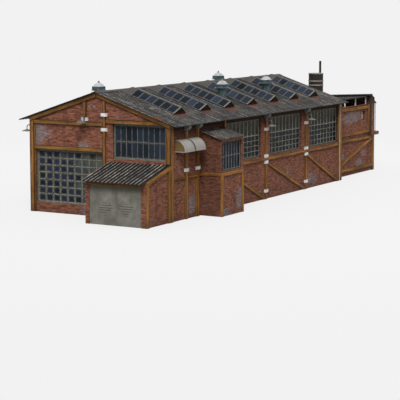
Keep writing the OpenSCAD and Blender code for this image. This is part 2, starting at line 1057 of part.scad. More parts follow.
// Turned head of a ventilator: a brim, a drum and a domed cap, drawn as half a section
module vent_section() {
    dome_r = (vent_cap_r * vent_cap_r + vent_cap_h * vent_cap_h) / (2 * vent_cap_h);
    square([vent_drum_r + vent_brim, vent_brim_t]);
    square([vent_drum_r, vent_drum_h]);
    translate([0, vent_drum_h])
        intersection() {
            square([vent_cap_r, vent_cap_h]);
            translate([0, vent_cap_h - dome_r])
                circle(dome_r, $fn = 128);
        }
}

// Round ventilator: a neck cut to the slope with a turned head on it
module ventilator(x, far) {
    side = far ? 1 : -1;
    foot = ridge_z - vent_down * tan(roof_a);
    sink = vent_r * tan(roof_a) + past;
    translate([x, ridge_y + side * vent_down, foot]) {
        difference() {
            translate([0, 0, -sink])
                cylinder(h = vent_neck_h + sink, r = vent_r);
            rotate([-side * roof_a, 0, 0])
                translate([-vent_r * 2, -vent_r * 2, -vent_r * 4])
                    cube(vent_r * 4);
        }
        translate([0, 0, vent_neck_h])
            rotate_extrude()
                vent_section();
    }
}

module ventilators() {
    color(steel_grey)
        placed() {
            for (i = near_vents)
                ventilator(vent_x(i), false);
            for (i = far_vents)
                ventilator(vent_x(i), true);
        }
}

// Side wall of the lean-to, under its sheets
module lean_side(y) {
    along_y(y)
        polygon([
            [-lean_out, 0],
            [0, 0],
            [0, lean_under(0)],
            [-lean_out, lean_under(-lean_out)],
        ]);
}

module lean_to_walls() {
    color(brick)
        placed() {
            lean_side([0, lean_wall_t]);
            span([-lean_out, -lean_out + lean_wall_t], [lean_wall_t, lean_pier], [0, panel_h]);
            lean_side([lean_w - lean_wall_t, lean_w]);
        }
}

module lean_to_panel() {
    front = -lean_out + panel_back;
    color(render_grey)
        placed()
            span([front, front + panel_t], [lean_pier, lean_w - lean_wall_t], [0, panel_h]);
}

// Timbers of the lean-to: posts and rafter on its near wall, and the beam over the panel
module lean_to_frame() {
    front = -lean_out;
    drop = timber_w / cos(lean_a);
    color(timber)
        placed() {
            along_y([-timber_t, 0])
                union() {
                    polygon([
                        [front, lean_under(front)],
                        [0, lean_under(0)],
                        [0, lean_under(0) - drop],
                        [front, lean_under(front) - drop],
                    ]);
                    patch([front, front + timber_w], [0, lean_under(front) - drop / 2]);
                    patch([-corner_w, 0], [0, lean_under(-corner_w)]);
                }
            along_y([lean_wall_t, lean_w - lean_wall_t])
                polygon([
                    [front, panel_h],
                    [front + lean_wall_t, panel_h],
                    [front + lean_wall_t, lean_under(front + lean_wall_t)],
                    [front, lean_under(front)],
                ]);
        }
}

module lean_to_roof() {
    length = (lean_out + lean_over) / cos(lean_a);
    color(sheet_grey)
        placed()
            translate([0, 0, lean_under(0)])
                rotate([0, -lean_a, 0])
                    rotate([0, 0, -90])
                        down_slope([0, length])
                            wave([-lean_w, 0]);
}

// Bay: a brick box open to the hall, cut to its roof, with one wide window
module bay_walls() {
    inner = [bay_x + bay_wall_t, bay_end - bay_wall_t];
    color(brick)
        placed()
            difference() {
                along_x([bay_x, bay_end])
                    polygon([
                        [-bay_out, 0],
                        [0, 0],
                        [0, bay_under(0)],
                        [-bay_out, bay_under(-bay_out)],
                    ]);
                span(inner, [-bay_out + bay_wall_t, past], [-past, bay_top_z]);
                span(
                    [bay_x + bay_strip, bay_end - bay_strip],
                    [-bay_out - past, -bay_out + bay_wall_t + past],
                    [bay_sill, bay_head]
                );
            }
}

// Timber rail round the bay and the posts under it
module bay_frame() {
    top = bay_sill - bay_rail_gap;
    low = top - bay_rail_h;
    front = -bay_out - bay_timber_t;
    ring_x = [bay_x - bay_timber_t, bay_end + bay_timber_t];
    color(timber)
        placed()
            difference() {
                union() {
                    span(ring_x, [front, -timber_t], [low, top]);
                    for (x = [[ring_x[0], ring_x[0] + timber_w], [ring_x[1] - timber_w, ring_x[1]]])
                        span(x, [front, -bay_out + bay_timber_t], [0, low]);
                }
                span([bay_x, bay_end], [-bay_out, 0], [-past, top + past]);
            }
}

module bay_roof() {
    length = (bay_out + bay_front_over) / cos(bay_a);
    color(sheet_grey)
        placed()
            translate([0, 0, bay_under(0)])
                rotate([bay_a, 0, 0])
                    down_slope([0, length])
                        wave([bay_x - bay_side_over, bay_end + bay_side_over]);
}

// Front wall of the annex in two storeys, with or without its upper window
module annex_wall(window) {
    along_y([0, annex_wall_t])
        difference() {
            union() {
                patch([hall_len, annex_end], [0, slab_z]);
                patch([hall_len, upper_end_x[0]], [annex_floor_z, parapet_z]);
            }
            if (window)
                patch(annex_window, annex_win_z);
        }
}

module annex_side_walls() {
    color(brick)
        placed() {
            translate([0, annex_in, 0])
                annex_wall(true);
            translate([0, annex_far - annex_wall_t, 0])
                annex_wall(false);
        }
}

// End walls of the annex: the lower one with its plinth, the upper one with a sloped top and a doorway
module annex_end_wall() {
    lower_y = [annex_in + annex_wall_t, annex_far - annex_wall_t];
    color(brick)
        placed() {
            span([annex_end - annex_wall_t, annex_end], lower_y, [0, slab_z]);
            span([annex_end, annex_end + plinth_out], [annex_in, annex_far], [0, plinth_h]);
            difference() {
                along_y([annex_in, annex_far])
                    polygon([
                        [upper_end_x[0], annex_floor_z],
                        [upper_end_x[1], annex_floor_z],
                        [upper_end_x[1], canopy_under(upper_end_x[1])],
                        [canopy_x[0], end_z],
                        [upper_end_x[0], end_z],
                    ]);
                span(
                    [upper_end_x[0] - past, upper_end_x[1] + past],
                    [door_y, door_y + door_w],
                    [annex_floor_z - past, annex_floor_z + door_h]
                );
            }
        }
}

// Floor slab of the annex, which runs on as the balcony
module annex_floor() {
    color(brick)
        placed() {
            span([hall_len, annex_end], [annex_in, annex_far], [slab_z, annex_floor_z]);
            span([annex_end, annex_end + balcony_out], balcony_y, [slab_z, annex_floor_z]);
        }
}

module annex_roof_deck() {
    color(dark_iron)
        placed()
            span(
                [hall_len, upper_end_x[0]],
                [annex_in + annex_wall_t, annex_far - annex_wall_t],
                [deck_z - deck_t, deck_z]
            );
}

// Raised corrugated cover, which falls to the far side, and the flashing over its end
module annex_cover() {
    length = (cover_y[1] - cover_y[0]) / cos(cover_a);
    color(sheet_grey)
        placed() {
            translate([0, cover_y[0], cover_z])
                rotate([-cover_a, 0, 0])
                    along_y([0, length])
                        wave(cover_x);
            span([canopy_x[0] - flash_w, canopy_x[0]], [annex_in, annex_far], [end_z, end_z + flash_t]);
        }
}

// Slim steel posts under the raised cover and under the balcony canopy
module slim_posts() {
    half = slim_post / 2;
    edge = balcony_post / 2;
    rows = [annex_in + annex_wall_t / 2, annex_far - annex_wall_t / 2];
    middle = (cover_x[0] + cover_x[1]) / 2;
    color(steel_white)
        placed() {
            for (x = [cover_x[0] + slim_in, middle, cover_x[1] - slim_in])
                for (y = rows)
                    along_x([x - half, x + half])
                        polygon([
                            [y - half, parapet_z],
                            [y + half, parapet_z],
                            [y + half, cover_under(y + half)],
                            [y - half, cover_under(y - half)],
                        ]);
            for (y = [balcony_y[0] + balcony_post, balcony_y[1] - balcony_post])
                along_y([y - edge, y + edge])
                    polygon([
                        [slim_x - edge, annex_floor_z],
                        [slim_x + edge, annex_floor_z],
                        [slim_x + edge, canopy_under(slim_x + edge)],
                        [slim_x - edge, canopy_under(slim_x - edge)],
                    ]);
        }
}

module balcony_canopy() {
    color(dark_iron)
        placed()
            along_y(balcony_y)
                polygon([
                    [canopy_x[0], end_z],
                    [canopy_x[1], canopy_under(canopy_x[1])],
                    [canopy_x[1], canopy_under(canopy_x[1]) + canopy_t],
                    [canopy_x[0], end_z + canopy_t],
                ]);
}

module balcony_door() {
    middle = upper_end_x[1] - end_t / 2;
    color(timber)
        placed()
            span(
                [middle - door_t / 2, middle + door_t / 2],
                [door_y, door_y + door_w],
                [annex_floor_z, annex_floor_z + door_h]
            );
}

// Round stack on the annex roof, with a flue that rises beside it and bends into it
module stack() {
    flue_x = -stack_r - flue_out;
    bend = flue_out;
    bend_z = deck_z + flue_rise;
    color(dark_iron)
        placed()
            translate([stack_at[0], stack_at[1], 0]) {
                translate([0, 0, deck_z])
                    cylinder(h = stack_z - deck_z, r = stack_r);
                translate([flue_x, 0, deck_z])
                    cylinder(h = flue_rise, r = flue_r);
                translate([flue_x + bend, 0, bend_z])
                    rotate([90, 0, 0])
                        rotate([0, 0, 90])
                            rotate_extrude(angle = 90)
                                translate([bend, 0])
                                    circle(flue_r);
                translate([flue_x + bend, 0, bend_z + bend])
                    rotate([0, 90, 0])
                        cylinder(h = stack_r, r = flue_r);
            }
}

// Hoops round the stack and the lid on its top
module stack_hoops() {
    color(steel_white)
        placed()
            translate([stack_at[0], stack_at[1], 0]) {
                for (drop = hoop_drop)
                    translate([0, 0, stack_z - drop])
                        difference() {
                            cylinder(h = hoop_h, r = stack_r + hoop_t);
                            translate([0, 0, -past])
                                cylinder(h = hoop_h + past * 2, r = stack_r);
                        }
                translate([0, 0, stack_z])
                    cylinder(h = hoop_h / 2, r = stack_r + hoop_t);
            }
}

// Mast pipe beside the stack, held off it by two brackets
module mast() {
    color(dark_iron)
        placed()
            translate([mast_at[0], mast_at[1], 0]) {
                translate([0, 0, deck_z])
                    cylinder(h = mast_z - deck_z, r = mast_r);
                for (z = [deck_z + stack_r, stack_z - stack_r / 2])
                    difference() {
                        span([-mast_r - mast_gap - past, 0], [-mast_r / 2, mast_r / 2], [z, z + mast_r]);
                        translate([stack_at[0] - mast_at[0], 0, z - past])
                            cylinder(h = mast_r + past * 2, r = stack_r);
                    }
            }
}

// Section of a barrel awning: a quarter ellipse against the wall
module awning_section(inset) {
    points = 24;
    polygon(concat(
        [[0, 0]],
        [for (i = [0 : points]) [
            -(awning_out - inset) * cos(90 * i / points),
            (awning_h - inset) * sin(90 * i / points)
        ]]
    ));
}

// Barrel awning with closed ends, open below
module awning(x) {
    translate([0, 0, awning_z])
        difference() {
            along_x([x, x + awning_w])
                awning_section(0);
            translate([0, 0, -past / 10])
                along_x([x + awning_t, x + awning_w - awning_t])
                    awning_section(awning_t);
        }
}

module awnings() {
    color(canvas_cream)
        placed() {
            awning(post_1 - timber_w / 2 - past - awning_w);
            awning(post_1 + timber_w / 2 + past);
        }
}

// Lamp drawn at its foot on a post, reaching out along -Y: plate, bent arm and hollow shade
module lamp() {
    bend = (lamp_reach - lamp_arm_r) / 2;
    neck = lamp_arm_r * 2;
    rim = shade_h / 5;
    span([-neck, neck], [-lamp_arm_r, 0], [-neck * 2, neck]);
    translate([0, -lamp_arm_r - bend, 0])
        rotate([90, 0, 90])
            rotate_extrude(angle = 180)
                translate([bend, 0])
                    circle(lamp_arm_r);
    translate([0, -lamp_reach, -shade_h])
        cylinder(h = shade_h, r = lamp_arm_r);
    translate([0, -lamp_reach, -shade_h * 2])
        rotate_extrude()
            polygon([
                [0, shade_h],
                [neck, shade_h],
                [shade_r, rim],
                [shade_r, 0],
                [shade_r - shade_t, 0],
                [shade_r - shade_t, rim / 2],
                [neck - shade_t, shade_h - shade_t],
                [0, shade_h - shade_t],
            ]);
}

module wall_lamps() {
    color(steel_grey)
        placed() {
            for (x = pier_posts)
                translate([x, -timber_t, pier_lamp_z])
                    lamp();
            translate([-timber_t - band_t, ridge_y + queen_off, gable_lamp_z])
                rotate([0, 0, -90])
                    lamp();
            translate([corner_w / 2, hall_w + timber_t, corner_lamp_z])
                rotate([0, 0, 180])
                    lamp();
        }
}

// Steel band round a post, drawn at the post's middle on the near wall
module band(z) {
    difference() {
        span([-band_w / 2, band_w / 2], [-timber_t - band_t, 0], [z - band_h / 2, z + band_h / 2]);
        span([-timber_w / 2, timber_w / 2], [-timber_t, past], [z - band_h, z + band_h]);
    }
}

pier_bands = [
    top_band_z,
    sill_rail_z + sill_rail_h + band_h / 2 + past,
    sill_rail_z - band_h / 2 - past,
    low_band_z,
];
queen_band = gable_lamp_z - lamp_arm_r * 2;

module band_clamps() {
    color(steel_white)
        placed() {
            for (x = pier_posts)
                for (z = pier_bands)
                    translate([x, 0, 0])
                        band(z);
            for (x = [post_1, post_2])
                translate([x, 0, 0])
                    band(front_band_z);
            for (z = gable_band_z)
                translate([0, gable_split - timber_w / 2, 0])
                    rotate([0, 0, -90])
                        band(z);
            translate([0, ridge_y + queen_off, 0])
                rotate([0, 0, -90])
                    band(queen_band);
        }
}

// Box bracket between a post's head and the eaves
module eaves_bracket(x) {
    along_x([x - bracket_w / 2, x + bracket_w / 2])
        polygon([
            [0, bracket_z],
            [-timber_t, bracket_z],
            [-bracket_out, roof_under(-bracket_out) - bracket_h / 2],
            [-bracket_out, roof_under(-bracket_out)],
            [0, roof_under(0)],
        ]);
}

module eaves_brackets() {
    color(steel_grey)
        placed()
            for (x = bracket_posts) {
                eaves_bracket(x);
                far_side()
                    translate([0, 0, far_lift])
                        eaves_bracket(x);
            }
}

front_gable_wall();
rear_gable_wall();
near_lower_wall();
near_upper_wall();
far_lower_wall();
far_upper_wall();
wall_plates();
gable_posts();
gable_ties();
gable_rafters();
side_posts();
side_rails();
side_braces();
window_frames();
window_glass();
purlins();
eaves_sheets();
upper_sheets();
ridge_cap();
skylight_frames();
skylight_glass();
skylight_hips();
ventilators();
lean_to_walls();
lean_to_panel();
lean_to_frame();
lean_to_roof();
bay_walls();
bay_frame();
bay_roof();
annex_side_walls();
annex_end_wall();
annex_floor();
annex_roof_deck();
annex_cover();
slim_posts();
balcony_canopy();
balcony_door();
stack();
stack_hoops();
mast();
awnings();
wall_lamps();
band_clamps();
eaves_brackets();
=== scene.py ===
# Brick warehouse: glazing, chamfered timbers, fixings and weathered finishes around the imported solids.
import math

import bpy
from mathutils import Matrix, Vector


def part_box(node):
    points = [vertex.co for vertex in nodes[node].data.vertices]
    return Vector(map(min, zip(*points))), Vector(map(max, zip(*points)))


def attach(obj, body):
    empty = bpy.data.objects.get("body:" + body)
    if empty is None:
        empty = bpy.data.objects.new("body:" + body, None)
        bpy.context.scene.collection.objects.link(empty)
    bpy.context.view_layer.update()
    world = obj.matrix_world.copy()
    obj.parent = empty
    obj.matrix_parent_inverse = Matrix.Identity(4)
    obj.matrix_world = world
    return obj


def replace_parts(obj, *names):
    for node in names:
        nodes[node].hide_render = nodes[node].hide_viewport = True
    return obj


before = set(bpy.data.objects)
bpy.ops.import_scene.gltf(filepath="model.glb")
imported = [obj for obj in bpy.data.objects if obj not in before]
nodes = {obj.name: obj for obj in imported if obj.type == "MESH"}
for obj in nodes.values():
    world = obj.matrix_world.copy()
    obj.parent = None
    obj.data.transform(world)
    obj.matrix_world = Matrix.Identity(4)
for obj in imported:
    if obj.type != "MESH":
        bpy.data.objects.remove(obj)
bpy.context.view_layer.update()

# Measures in metres, taken from the front gable's brick face, the near long wall and the ground
BASE = Vector((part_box("front_gable_wall")[0].x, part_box("near_lower_wall")[0].y, 0))
HALL_LEN, HALL_W, RIDGE_Y = 22.85, 9.64, 4.95
TIMBER_W, TIMBER_T, CORNER_W, BAND_T = 0.2, 0.09, 0.26, 0.02
EAVES_Z, RIDGE_Z, EAVES_OVER, VERGE_OVER = 5.5, 7.3, 0.515, 0.24
SHEET_DEPTH, EAVES_SHEET = 0.06, 1.56
ROOF_A = math.atan((RIDGE_Z - EAVES_Z) / (RIDGE_Y + EAVES_OVER))
RIDGE_UNDER = RIDGE_Z - SHEET_DEPTH / math.cos(ROOF_A)
SLOPE_LEN = (RIDGE_Y + EAVES_OVER) / math.cos(ROOF_A)
UPPER_LEN = SLOPE_LEN - EAVES_SHEET
HALL_WAVES, SHEET_WAVES, PURLIN_GAPS = 88, 4, 4
HALL_PITCH = (HALL_LEN + 2 * VERGE_OVER) / HALL_WAVES
PURLIN_STEP = (SLOPE_LEN - EAVES_OVER) / PURLIN_GAPS
CREST_AT = 0.14
SKY_FIRST, SKY_PITCH, SKY_COUNT = 2.655, 2.965, 7
SKY_HALF, SKY_H, CURB_H, CURB_T = 0.65, 0.46, 0.11, 0.06
SKY_TOP, SKY_FOOT = 1.05, UPPER_LEN - CURB_T
VENT_DOWN, VENT_NECK, VENT_DRUM_R, VENT_DRUM_H, VENT_CAP_H = 2.66, 0.64, 0.395, 0.25, 0.22
NEAR_VENTS, FAR_VENTS = (2, 4), (0, 5)
WINDOW_FIRST, WINDOW_PITCH, WINDOW_W, WINDOW_COUNT = 6.46, 5.73, 4.56, 3
GLASS_IN = 0.17
PIER_POSTS = (11.605, 17.335)
FRONT_POSTS = (1.74, 3.03)
PIER_BANDS = (4.455, 2.755, 2.365, 0.525)
FRONT_BAND, GABLE_BANDS = 2.85, (5.97, 5.11)
MIDDLE_POST, QUEEN_POST, QUEEN_BAND = 4.41, 5.75, 5.664
LEAN_OUT, LEAN_OVER, LEAN_W, LEAN_WALL = 2.515, 0.4, 4.07, 0.25
LEAN_TOP, LEAN_FALL, LEAN_WAVES, PANEL_H = 3.3, 0.8, 15, 2.25
LEAN_A = math.atan(LEAN_FALL / (LEAN_OUT + LEAN_OVER))
LEAN_UNDER = LEAN_TOP - SHEET_DEPTH / math.cos(LEAN_A)
LEAN_PITCH = LEAN_W / LEAN_WAVES
BAY = (3.41, 5.98)
BAY_OUT, BAY_TIMBER, BAY_RAIL = 1.43, 0.05, (2.37, 2.56)
BAY_ROOF_START, BAY_ROOF_LEN, BAY_WAVES = 3.24, 2.91, 11
BATTEN_W, BATTEN_T, BATTEN_TOP, CORNER_BATTEN_Z = 0.055, 0.07, 5.2, 3.3
AWNINGS, AWNING_W, AWNING_OUT, AWNING_H, AWNING_Z = (0.59, 1.85), 1.04, 0.65, 0.66, 4.0
PIPE, PIPE_R, PIPE_FOOT, PIPE_TOP, HOPPER = (22.42, -0.15, 0), 0.028, 0.02, 5.15, ((0.07, 5.2), (0.08, 5.34))
SOCKETS, SOCKET_R, SOCKET_H, SOCKET_STEP = (0.9, 2.7, 4.5), 0.038, 0.1, 0.005
DOOR_X, DOOR_Y, DOOR_Z, DOOR_W, DOOR_H = 29.485, 2.835, 2.86, 0.95, 2.0
DOOR_BOARDS, DOOR_BACK, DOOR_FACE, DOOR_LEDGES = 6, 0.03, 0.02, (0.25, 0.95, 1.65)
LEDGE_IN, LEDGE_T, LEDGE_H = 0.04, 0.025, 0.14
FIN_X, FIN_Y, FIN_Z, FIN_SLOPE_X = (29.2, 29.77), (0.43, 0.662), (2.86, 5.588), 29.38
CANOPY_FALL, SLAB_LOW, BALCONY_END = 0.546, 2.62, 30.62
CANOPY_LEN, CANOPY_T, SEAM_COUNT, SEAM_IN, SEAM_PITCH = 1.37, 0.04, 12, 0.03, 0.476
SEAM = (CANOPY_LEN - 0.02, 0.025, 0.05)
COVER_START, COVER_LEN, COVER_WAVES = 25.1, 4.08, 15
ANNEX_Y, END_TOP, END_FALL, FLASH_W, FLASH_T = 0.66, 5.58, 0.05, 0.61, 0.1


def site(x, y, z):
    """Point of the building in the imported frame."""
    return BASE + Vector((x, y, z))


def rgb(red, green, blue):
    """Linear colour of a screen colour from 0 to 255."""
    def linear(value):
        share = value / 255
        return share / 12.92 if share <= 0.04045 else ((share + 0.055) / 1.055) ** 2.4

    return (linear(red), linear(green), linear(blue), 1.0)


def tint(colour, share):
    """Linear colour of a screen colour made darker or lighter, up to white."""
    return rgb(*[min(value * share, 255) for value in colour])


def move(place):
    """Matrix of a shift."""
    return Matrix.Translation(place)


def turn(angle, axis):
    """Matrix of a turn about an axis of the frame."""
    return Matrix.Rotation(angle, 4, axis)


# Wiring of node trees

# Share of a direction from which a face counts as looking along an axis
FACING = 0.7


class Wiring:
    """The material and the node tree that were opened last, where new nodes go."""

    material = tree = None


def put(kind, values=None, **settings):
    """Adds a node, sets its settings, and links or sets its inputs."""
    node = Wiring.tree.nodes.new(kind)
    for key, value in settings.items():
        setattr(node, key, value)
    for key, value in (values or {}).items():
        if isinstance(value, bpy.types.NodeSocket):
            Wiring.tree.links.new(value, node.inputs[key])
        else:
            node.inputs[key].default_value = value
    return node


def calc(operation, *values, clamp=False):
    """One sum of the Math node."""
    pairs = dict(enumerate(values))
    return put("ShaderNodeMath", pairs, operation=operation, use_clamp=clamp).outputs[0]


def plus(first, second):
    """Sum of two values."""
    return calc("ADD", first, second)


def minus(first, second):
    """Difference of two values."""
    return calc("SUBTRACT", first, second)


def times(first, second):
    """Product of two values."""
    return calc("MULTIPLY", first, second)


def vector_calc(operation, *values):
    """Outputs of the Vector Math node."""
    return put("ShaderNodeVectorMath", dict(enumerate(values)), operation=operation).outputs


def shade(factor, first, second, mode="MIX"):
    """Mixes two colours."""
    pairs = {0: factor, 6: first, 7: second}
    return put("ShaderNodeMix", pairs, data_type="RGBA", blend_type=mode).outputs[2]


def between(value, low, high, start=0.0, end=1.0):
    """Smooth step of a value from low to high."""
    pairs = {0: value, 1: low, 2: high, 3: start, 4: end}
    return put("ShaderNodeMapRange", pairs, interpolation_type="SMOOTHSTEP").outputs[0]


def speckle(where, scale, detail=4.0, rough=0.6, warp=0.0):
    """Noise value of a point."""
    pairs = {"Vector": where, "Scale": scale, "Detail": detail, "Roughness": rough, "Distortion": warp}
    return put("ShaderNodeTexNoise", pairs).outputs[0]


def scaled(where, scale, shift=(0, 0, 0)):
    """Point stretched and shifted."""
    pairs = {"Vector": where, "Scale": scale, "Location": shift}
    return put("ShaderNodeMapping", pairs).outputs[0]


def parts_of(vector):
    """X, Y and Z of a vector."""
    return put("ShaderNodeSeparateXYZ", {0: vector}).outputs


def place_of():
    """The point on the piece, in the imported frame."""
    return put("ShaderNodeTexCoord").outputs["Object"]


def normal_of():
    """X, Y and Z of the direction that the face looks in."""
    return parts_of(put("ShaderNodeTexCoord").outputs["Normal"])


def looks_along(axis):
    """1 on faces that look along an axis, either way."""
    return calc("GREATER_THAN", calc("ABSOLUTE", normal_of()[axis]), FACING)


def dice(values, dimensions):
    """Random value of a cell, the same on every run."""
    return put("ShaderNodeTexWhiteNoise", values, noise_dimensions=dimensions).outputs["Value"]


def dimmed(colour, tone):
    """Colour times a grey tone."""
    grey = put("ShaderNodeCombineColor", {0: tone, 1: tone, 2: tone}).outputs[0]
    return shade(1.0, colour, grey, "MULTIPLY")


def group_of(name, **inputs):
    """Opens a node group with the named kinds of inputs, and returns their sockets."""
    Wiring.tree = bpy.data.node_groups.new(name, "ShaderNodeTree")
    for label, kind in inputs.items():
        Wiring.tree.interface.new_socket(label, in_out="INPUT", socket_type="NodeSocket" + kind)
    return put("NodeGroupInput").outputs


def give(**sockets):
    """Ends a node group with its named outputs, and returns the group."""
    kinds = {"VALUE": "Float", "RGBA": "Color", "VECTOR": "Vector"}
    for label, socket in sockets.items():
        kind = "NodeSocket" + kinds[socket.type]
        Wiring.tree.interface.new_socket(label, in_out="OUTPUT", socket_type=kind)
    put("NodeGroupOutput", sockets)
    return Wiring.tree


def use(group, values=None):
    """Places a node group and returns its outputs."""
    return put("ShaderNodeGroup", values, node_tree=group).outputs


def open_tree(owner):
    """Opens the emptied node tree of a material or a world."""
    owner.use_nodes = True
    owner.node_tree.nodes.clear()
    Wiring.tree = owner.node_tree


def new_material(name):
    """Opens a new material."""
    Wiring.material = bpy.data.materials.new(name)
    open_tree(Wiring.material)


def close(colour, rough, height, depth, gloss):
    """Ends a material with its shader, from colour, roughness, relief and gloss, and returns it."""
    bump = put("ShaderNodeBump", {"Height": height, "Distance": depth, "Strength": 1.0}).outputs[0]
    values = {"Base Color": colour, "Roughness": rough, "Normal": bump, "Specular IOR Level": gloss}
    shader = put("ShaderNodeBsdfPrincipled", values)
    put("ShaderNodeOutputMaterial", {"Surface": shader.outputs[0]})
    return Wiring.material


# Effects that several finishes share


def face_plane():
    """Flat coordinates on the face: along the wall and up, or along and across on a level face."""
    x, y, z = parts_of(place_of())
    along = plus(times(looks_along(0), minus(y, x)), x)
    up = plus(times(looks_along(2), minus(y, z)), z)
    return put("ShaderNodeCombineXYZ", {0: along, 1: up}).outputs[0]


def make_grime():
    """Colour with rain streaks and with splashed dirt at the foot of a wall."""
    given = group_of("grime", Colour="Color", Dirt="Color", Streaks="Float", Foot="Float")
    where = place_of()
    z = parts_of(where)[2]
    runs = speckle(scaled(where, (2.6, 2.6, 0.22)), 1.0, 5.0, 0.65)
    runs = times(between(runs, 0.52, 0.72), given["Streaks"])
    foot = plus(z, times(speckle(where, 1.3), -0.8))
    foot = times(between(foot, 0.35, -0.35), given["Foot"])
    mask = calc("MAXIMUM", runs, foot, clamp=True)
    return give(Colour=shade(mask, given["Colour"], given["Dirt"]))


def make_blotch():
    """Ragged spot round a centre: 1 inside and 0 outside."""
    given = group_of("blotch", Point="Vector", Centre="Vector", Size="Vector")
    off = vector_calc("SUBTRACT", given["Point"], given["Centre"])[0]
    off = vector_calc("DIVIDE", off, given["Size"])[0]
    far = vector_calc("LENGTH", off)["Value"]
    ragged = speckle(scaled(given["Point"], (2.2, 2.2, 4.5)), 1.0, 5.0, 0.7)
    far = plus(far, times(minus(ragged, 0.5), 2.4))
    return give(Mask=between(far, 1.0, 0.62))


def make_wood_grain():
    """Streaked grain along the first axis: a tone and a height."""
    given = group_of("wood_grain", Point="Vector")
    point = scaled(given["Point"], (0.55, 6.0, 6.0))
    wide = speckle(point, 0.9, 3.0, 0.55, 0.4)
    fine = speckle(point, 5.0, 6.0, 0.7, 0.3)
    return give(Tone=plus(times(wide, 0.55), times(fine, 0.45)), Height=fine)


def make_pane():
    """Grid of panes on the piece's own map: a tone for each pane and the way in from its edge."""
    given = group_of("pane", Columns="Float", Rows="Float")
    u, v, _ = parts_of(put("ShaderNodeUVMap").outputs[0])
    across = times(u, given["Columns"])
    up = times(v, given["Rows"])
    x = parts_of(place_of())[0]
    window = calc("FLOOR", times(x, 0.2))
    cell = {0: calc("FLOOR", across), 1: calc("FLOOR", up), 2: window}
    cell = put("ShaderNodeCombineXYZ", cell).outputs[0]
    tone = dice({"Vector": cell}, "3D")
    gaps = []
    for part in (across, up):
        share = calc("FRACT", part)
        gaps.append(calc("MINIMUM", share, minus(1.0, share)))
    return give(Tone=tone, Inside=calc("MINIMUM", *gaps), Up=v, Along=u)


def make_crest():
    """Crests of a corrugated sheet, 1 on a crest and 0 in a valley, and a tone for each wave."""
    given = group_of("crest", Along="Float", Start="Float", Pitch="Float")
    count = calc("DIVIDE", minus(given["Along"], given["Start"]), given["Pitch"])
    count = minus(count, CREST_AT)
    share = calc("FRACT", count)
    number = calc("FLOOR", plus(count, 0.5))
    wave = dice({"W": number}, "1D")
    crest = times(calc("ABSOLUTE", minus(share, 0.5)), 2.0)
    return give(Crest=between(crest, 0.58, 0.9), Wave=wave)


def blotch(where, middle, size):
    """Mask of a ragged spot at a point of the building."""
    return use(BLOTCH, {"Point": where, "Centre": site(*middle), "Size": size})["Mask"]


def grimed(colour, dirt, streaks, foot=0.0):
    """Colour under rain streaks and splashes."""
    return use(GRIME, {"Colour": colour, "Dirt": dirt, "Streaks": streaks, "Foot": foot})["Colour"]


GRIME = make_grime()
BLOTCH = make_blotch()
WOOD_GRAIN = make_wood_grain()
PANE = make_pane()
CREST = make_crest()


# Finishes

# Grey lime patches on the brick, the last of them instead a grey of painted shade on the fin's side face:
# middle and half sizes
GREY_PATCHES = (
    ((0.0, 9.1, 4.7), (0.6, 0.9, 0.75)),
    ((0.0, 5.85, 4.15), (0.6, 0.55, 0.25)),
    ((0.0, 5.3, 0.25), (0.6, 1.1, 0.45)),
    ((2.45, 0.0, 0.75), (0.55, 0.6, 0.8)),
    ((3.9, -1.43, 0.2), (0.7, 0.6, 0.3)),
    ((5.6, -1.43, 0.9), (0.5, 0.6, 0.8)),
    ((18.3, 0.0, 0.55), (0.9, 0.6, 0.5)),
    ((26.3, 0.66, 4.15), (1.8, 0.6, 0.5)),
    ((24.6, 0.66, 1.4), (0.5, 0.6, 0.35)),
    ((27.6, 0.66, 0.75), (0.7, 0.6, 0.35)),
    ((28.3, 0.66, 1.4), (0.4, 0.6, 0.4)),
    ((29.6, 0.5, 0.15), (0.6, 0.6, 0.2)),
    ((22.85, 3.5, 6.3), (0.6, 1.2, 0.5)),
    ((8.0, 9.64, 1.2), (1.2, 0.6, 0.6)),
    ((15.5, 9.64, 0.6), (1.4, 0.6, 0.5)),
    ((30.1, 6.3, 1.6), (0.6, 1.1, 0.6)),
    # Painted shade, not lime: greys the fin's side face
    ((29.2, 0.55, 4.2), (0.16, 0.5, 2.4)),
)
# Spots of painted shade on the brick, on the side of the bay and on the fin's side face: middle, half sizes
# and strength
PAINTED_SHADE_SPOTS = (
    ((BAY[0], -0.6, 2.6), (0.25, 1.3, 4.0), 0.42),
    ((FIN_X[0], 0.55, 4.2), (0.12, 0.8, 4.0), 0.8),
)


def make_bricks(plane, first, second, mortar, joint=0.007, length=0.25, course=0.075):
    """Courses of bricks, of the usual size where none is given."""
    values = {
        "Vector": plane, "Color1": first, "Color2": second, "Mortar": mortar, "Scale": 1.0, "Bias": 0.0,
        "Mortar Size": joint, "Mortar Smooth": 0.3, "Brick Width": length, "Row Height": course,
    }
    return put("ShaderNodeTexBrick", values).outputs


def painted_shade_on_brick(where):
    """Painted shade under the long eaves, on the side of the bay and on the fin of the annex."""
    high = between(parts_of(where)[2], 4.4, 5.3, 0.0, 0.92)
    painted_shade = times(high, looks_along(1))
    for middle, size, share in PAINTED_SHADE_SPOTS:
        painted_shade = calc("MAXIMUM", painted_shade, times(blotch(where, middle, size), share))
    return painted_shade


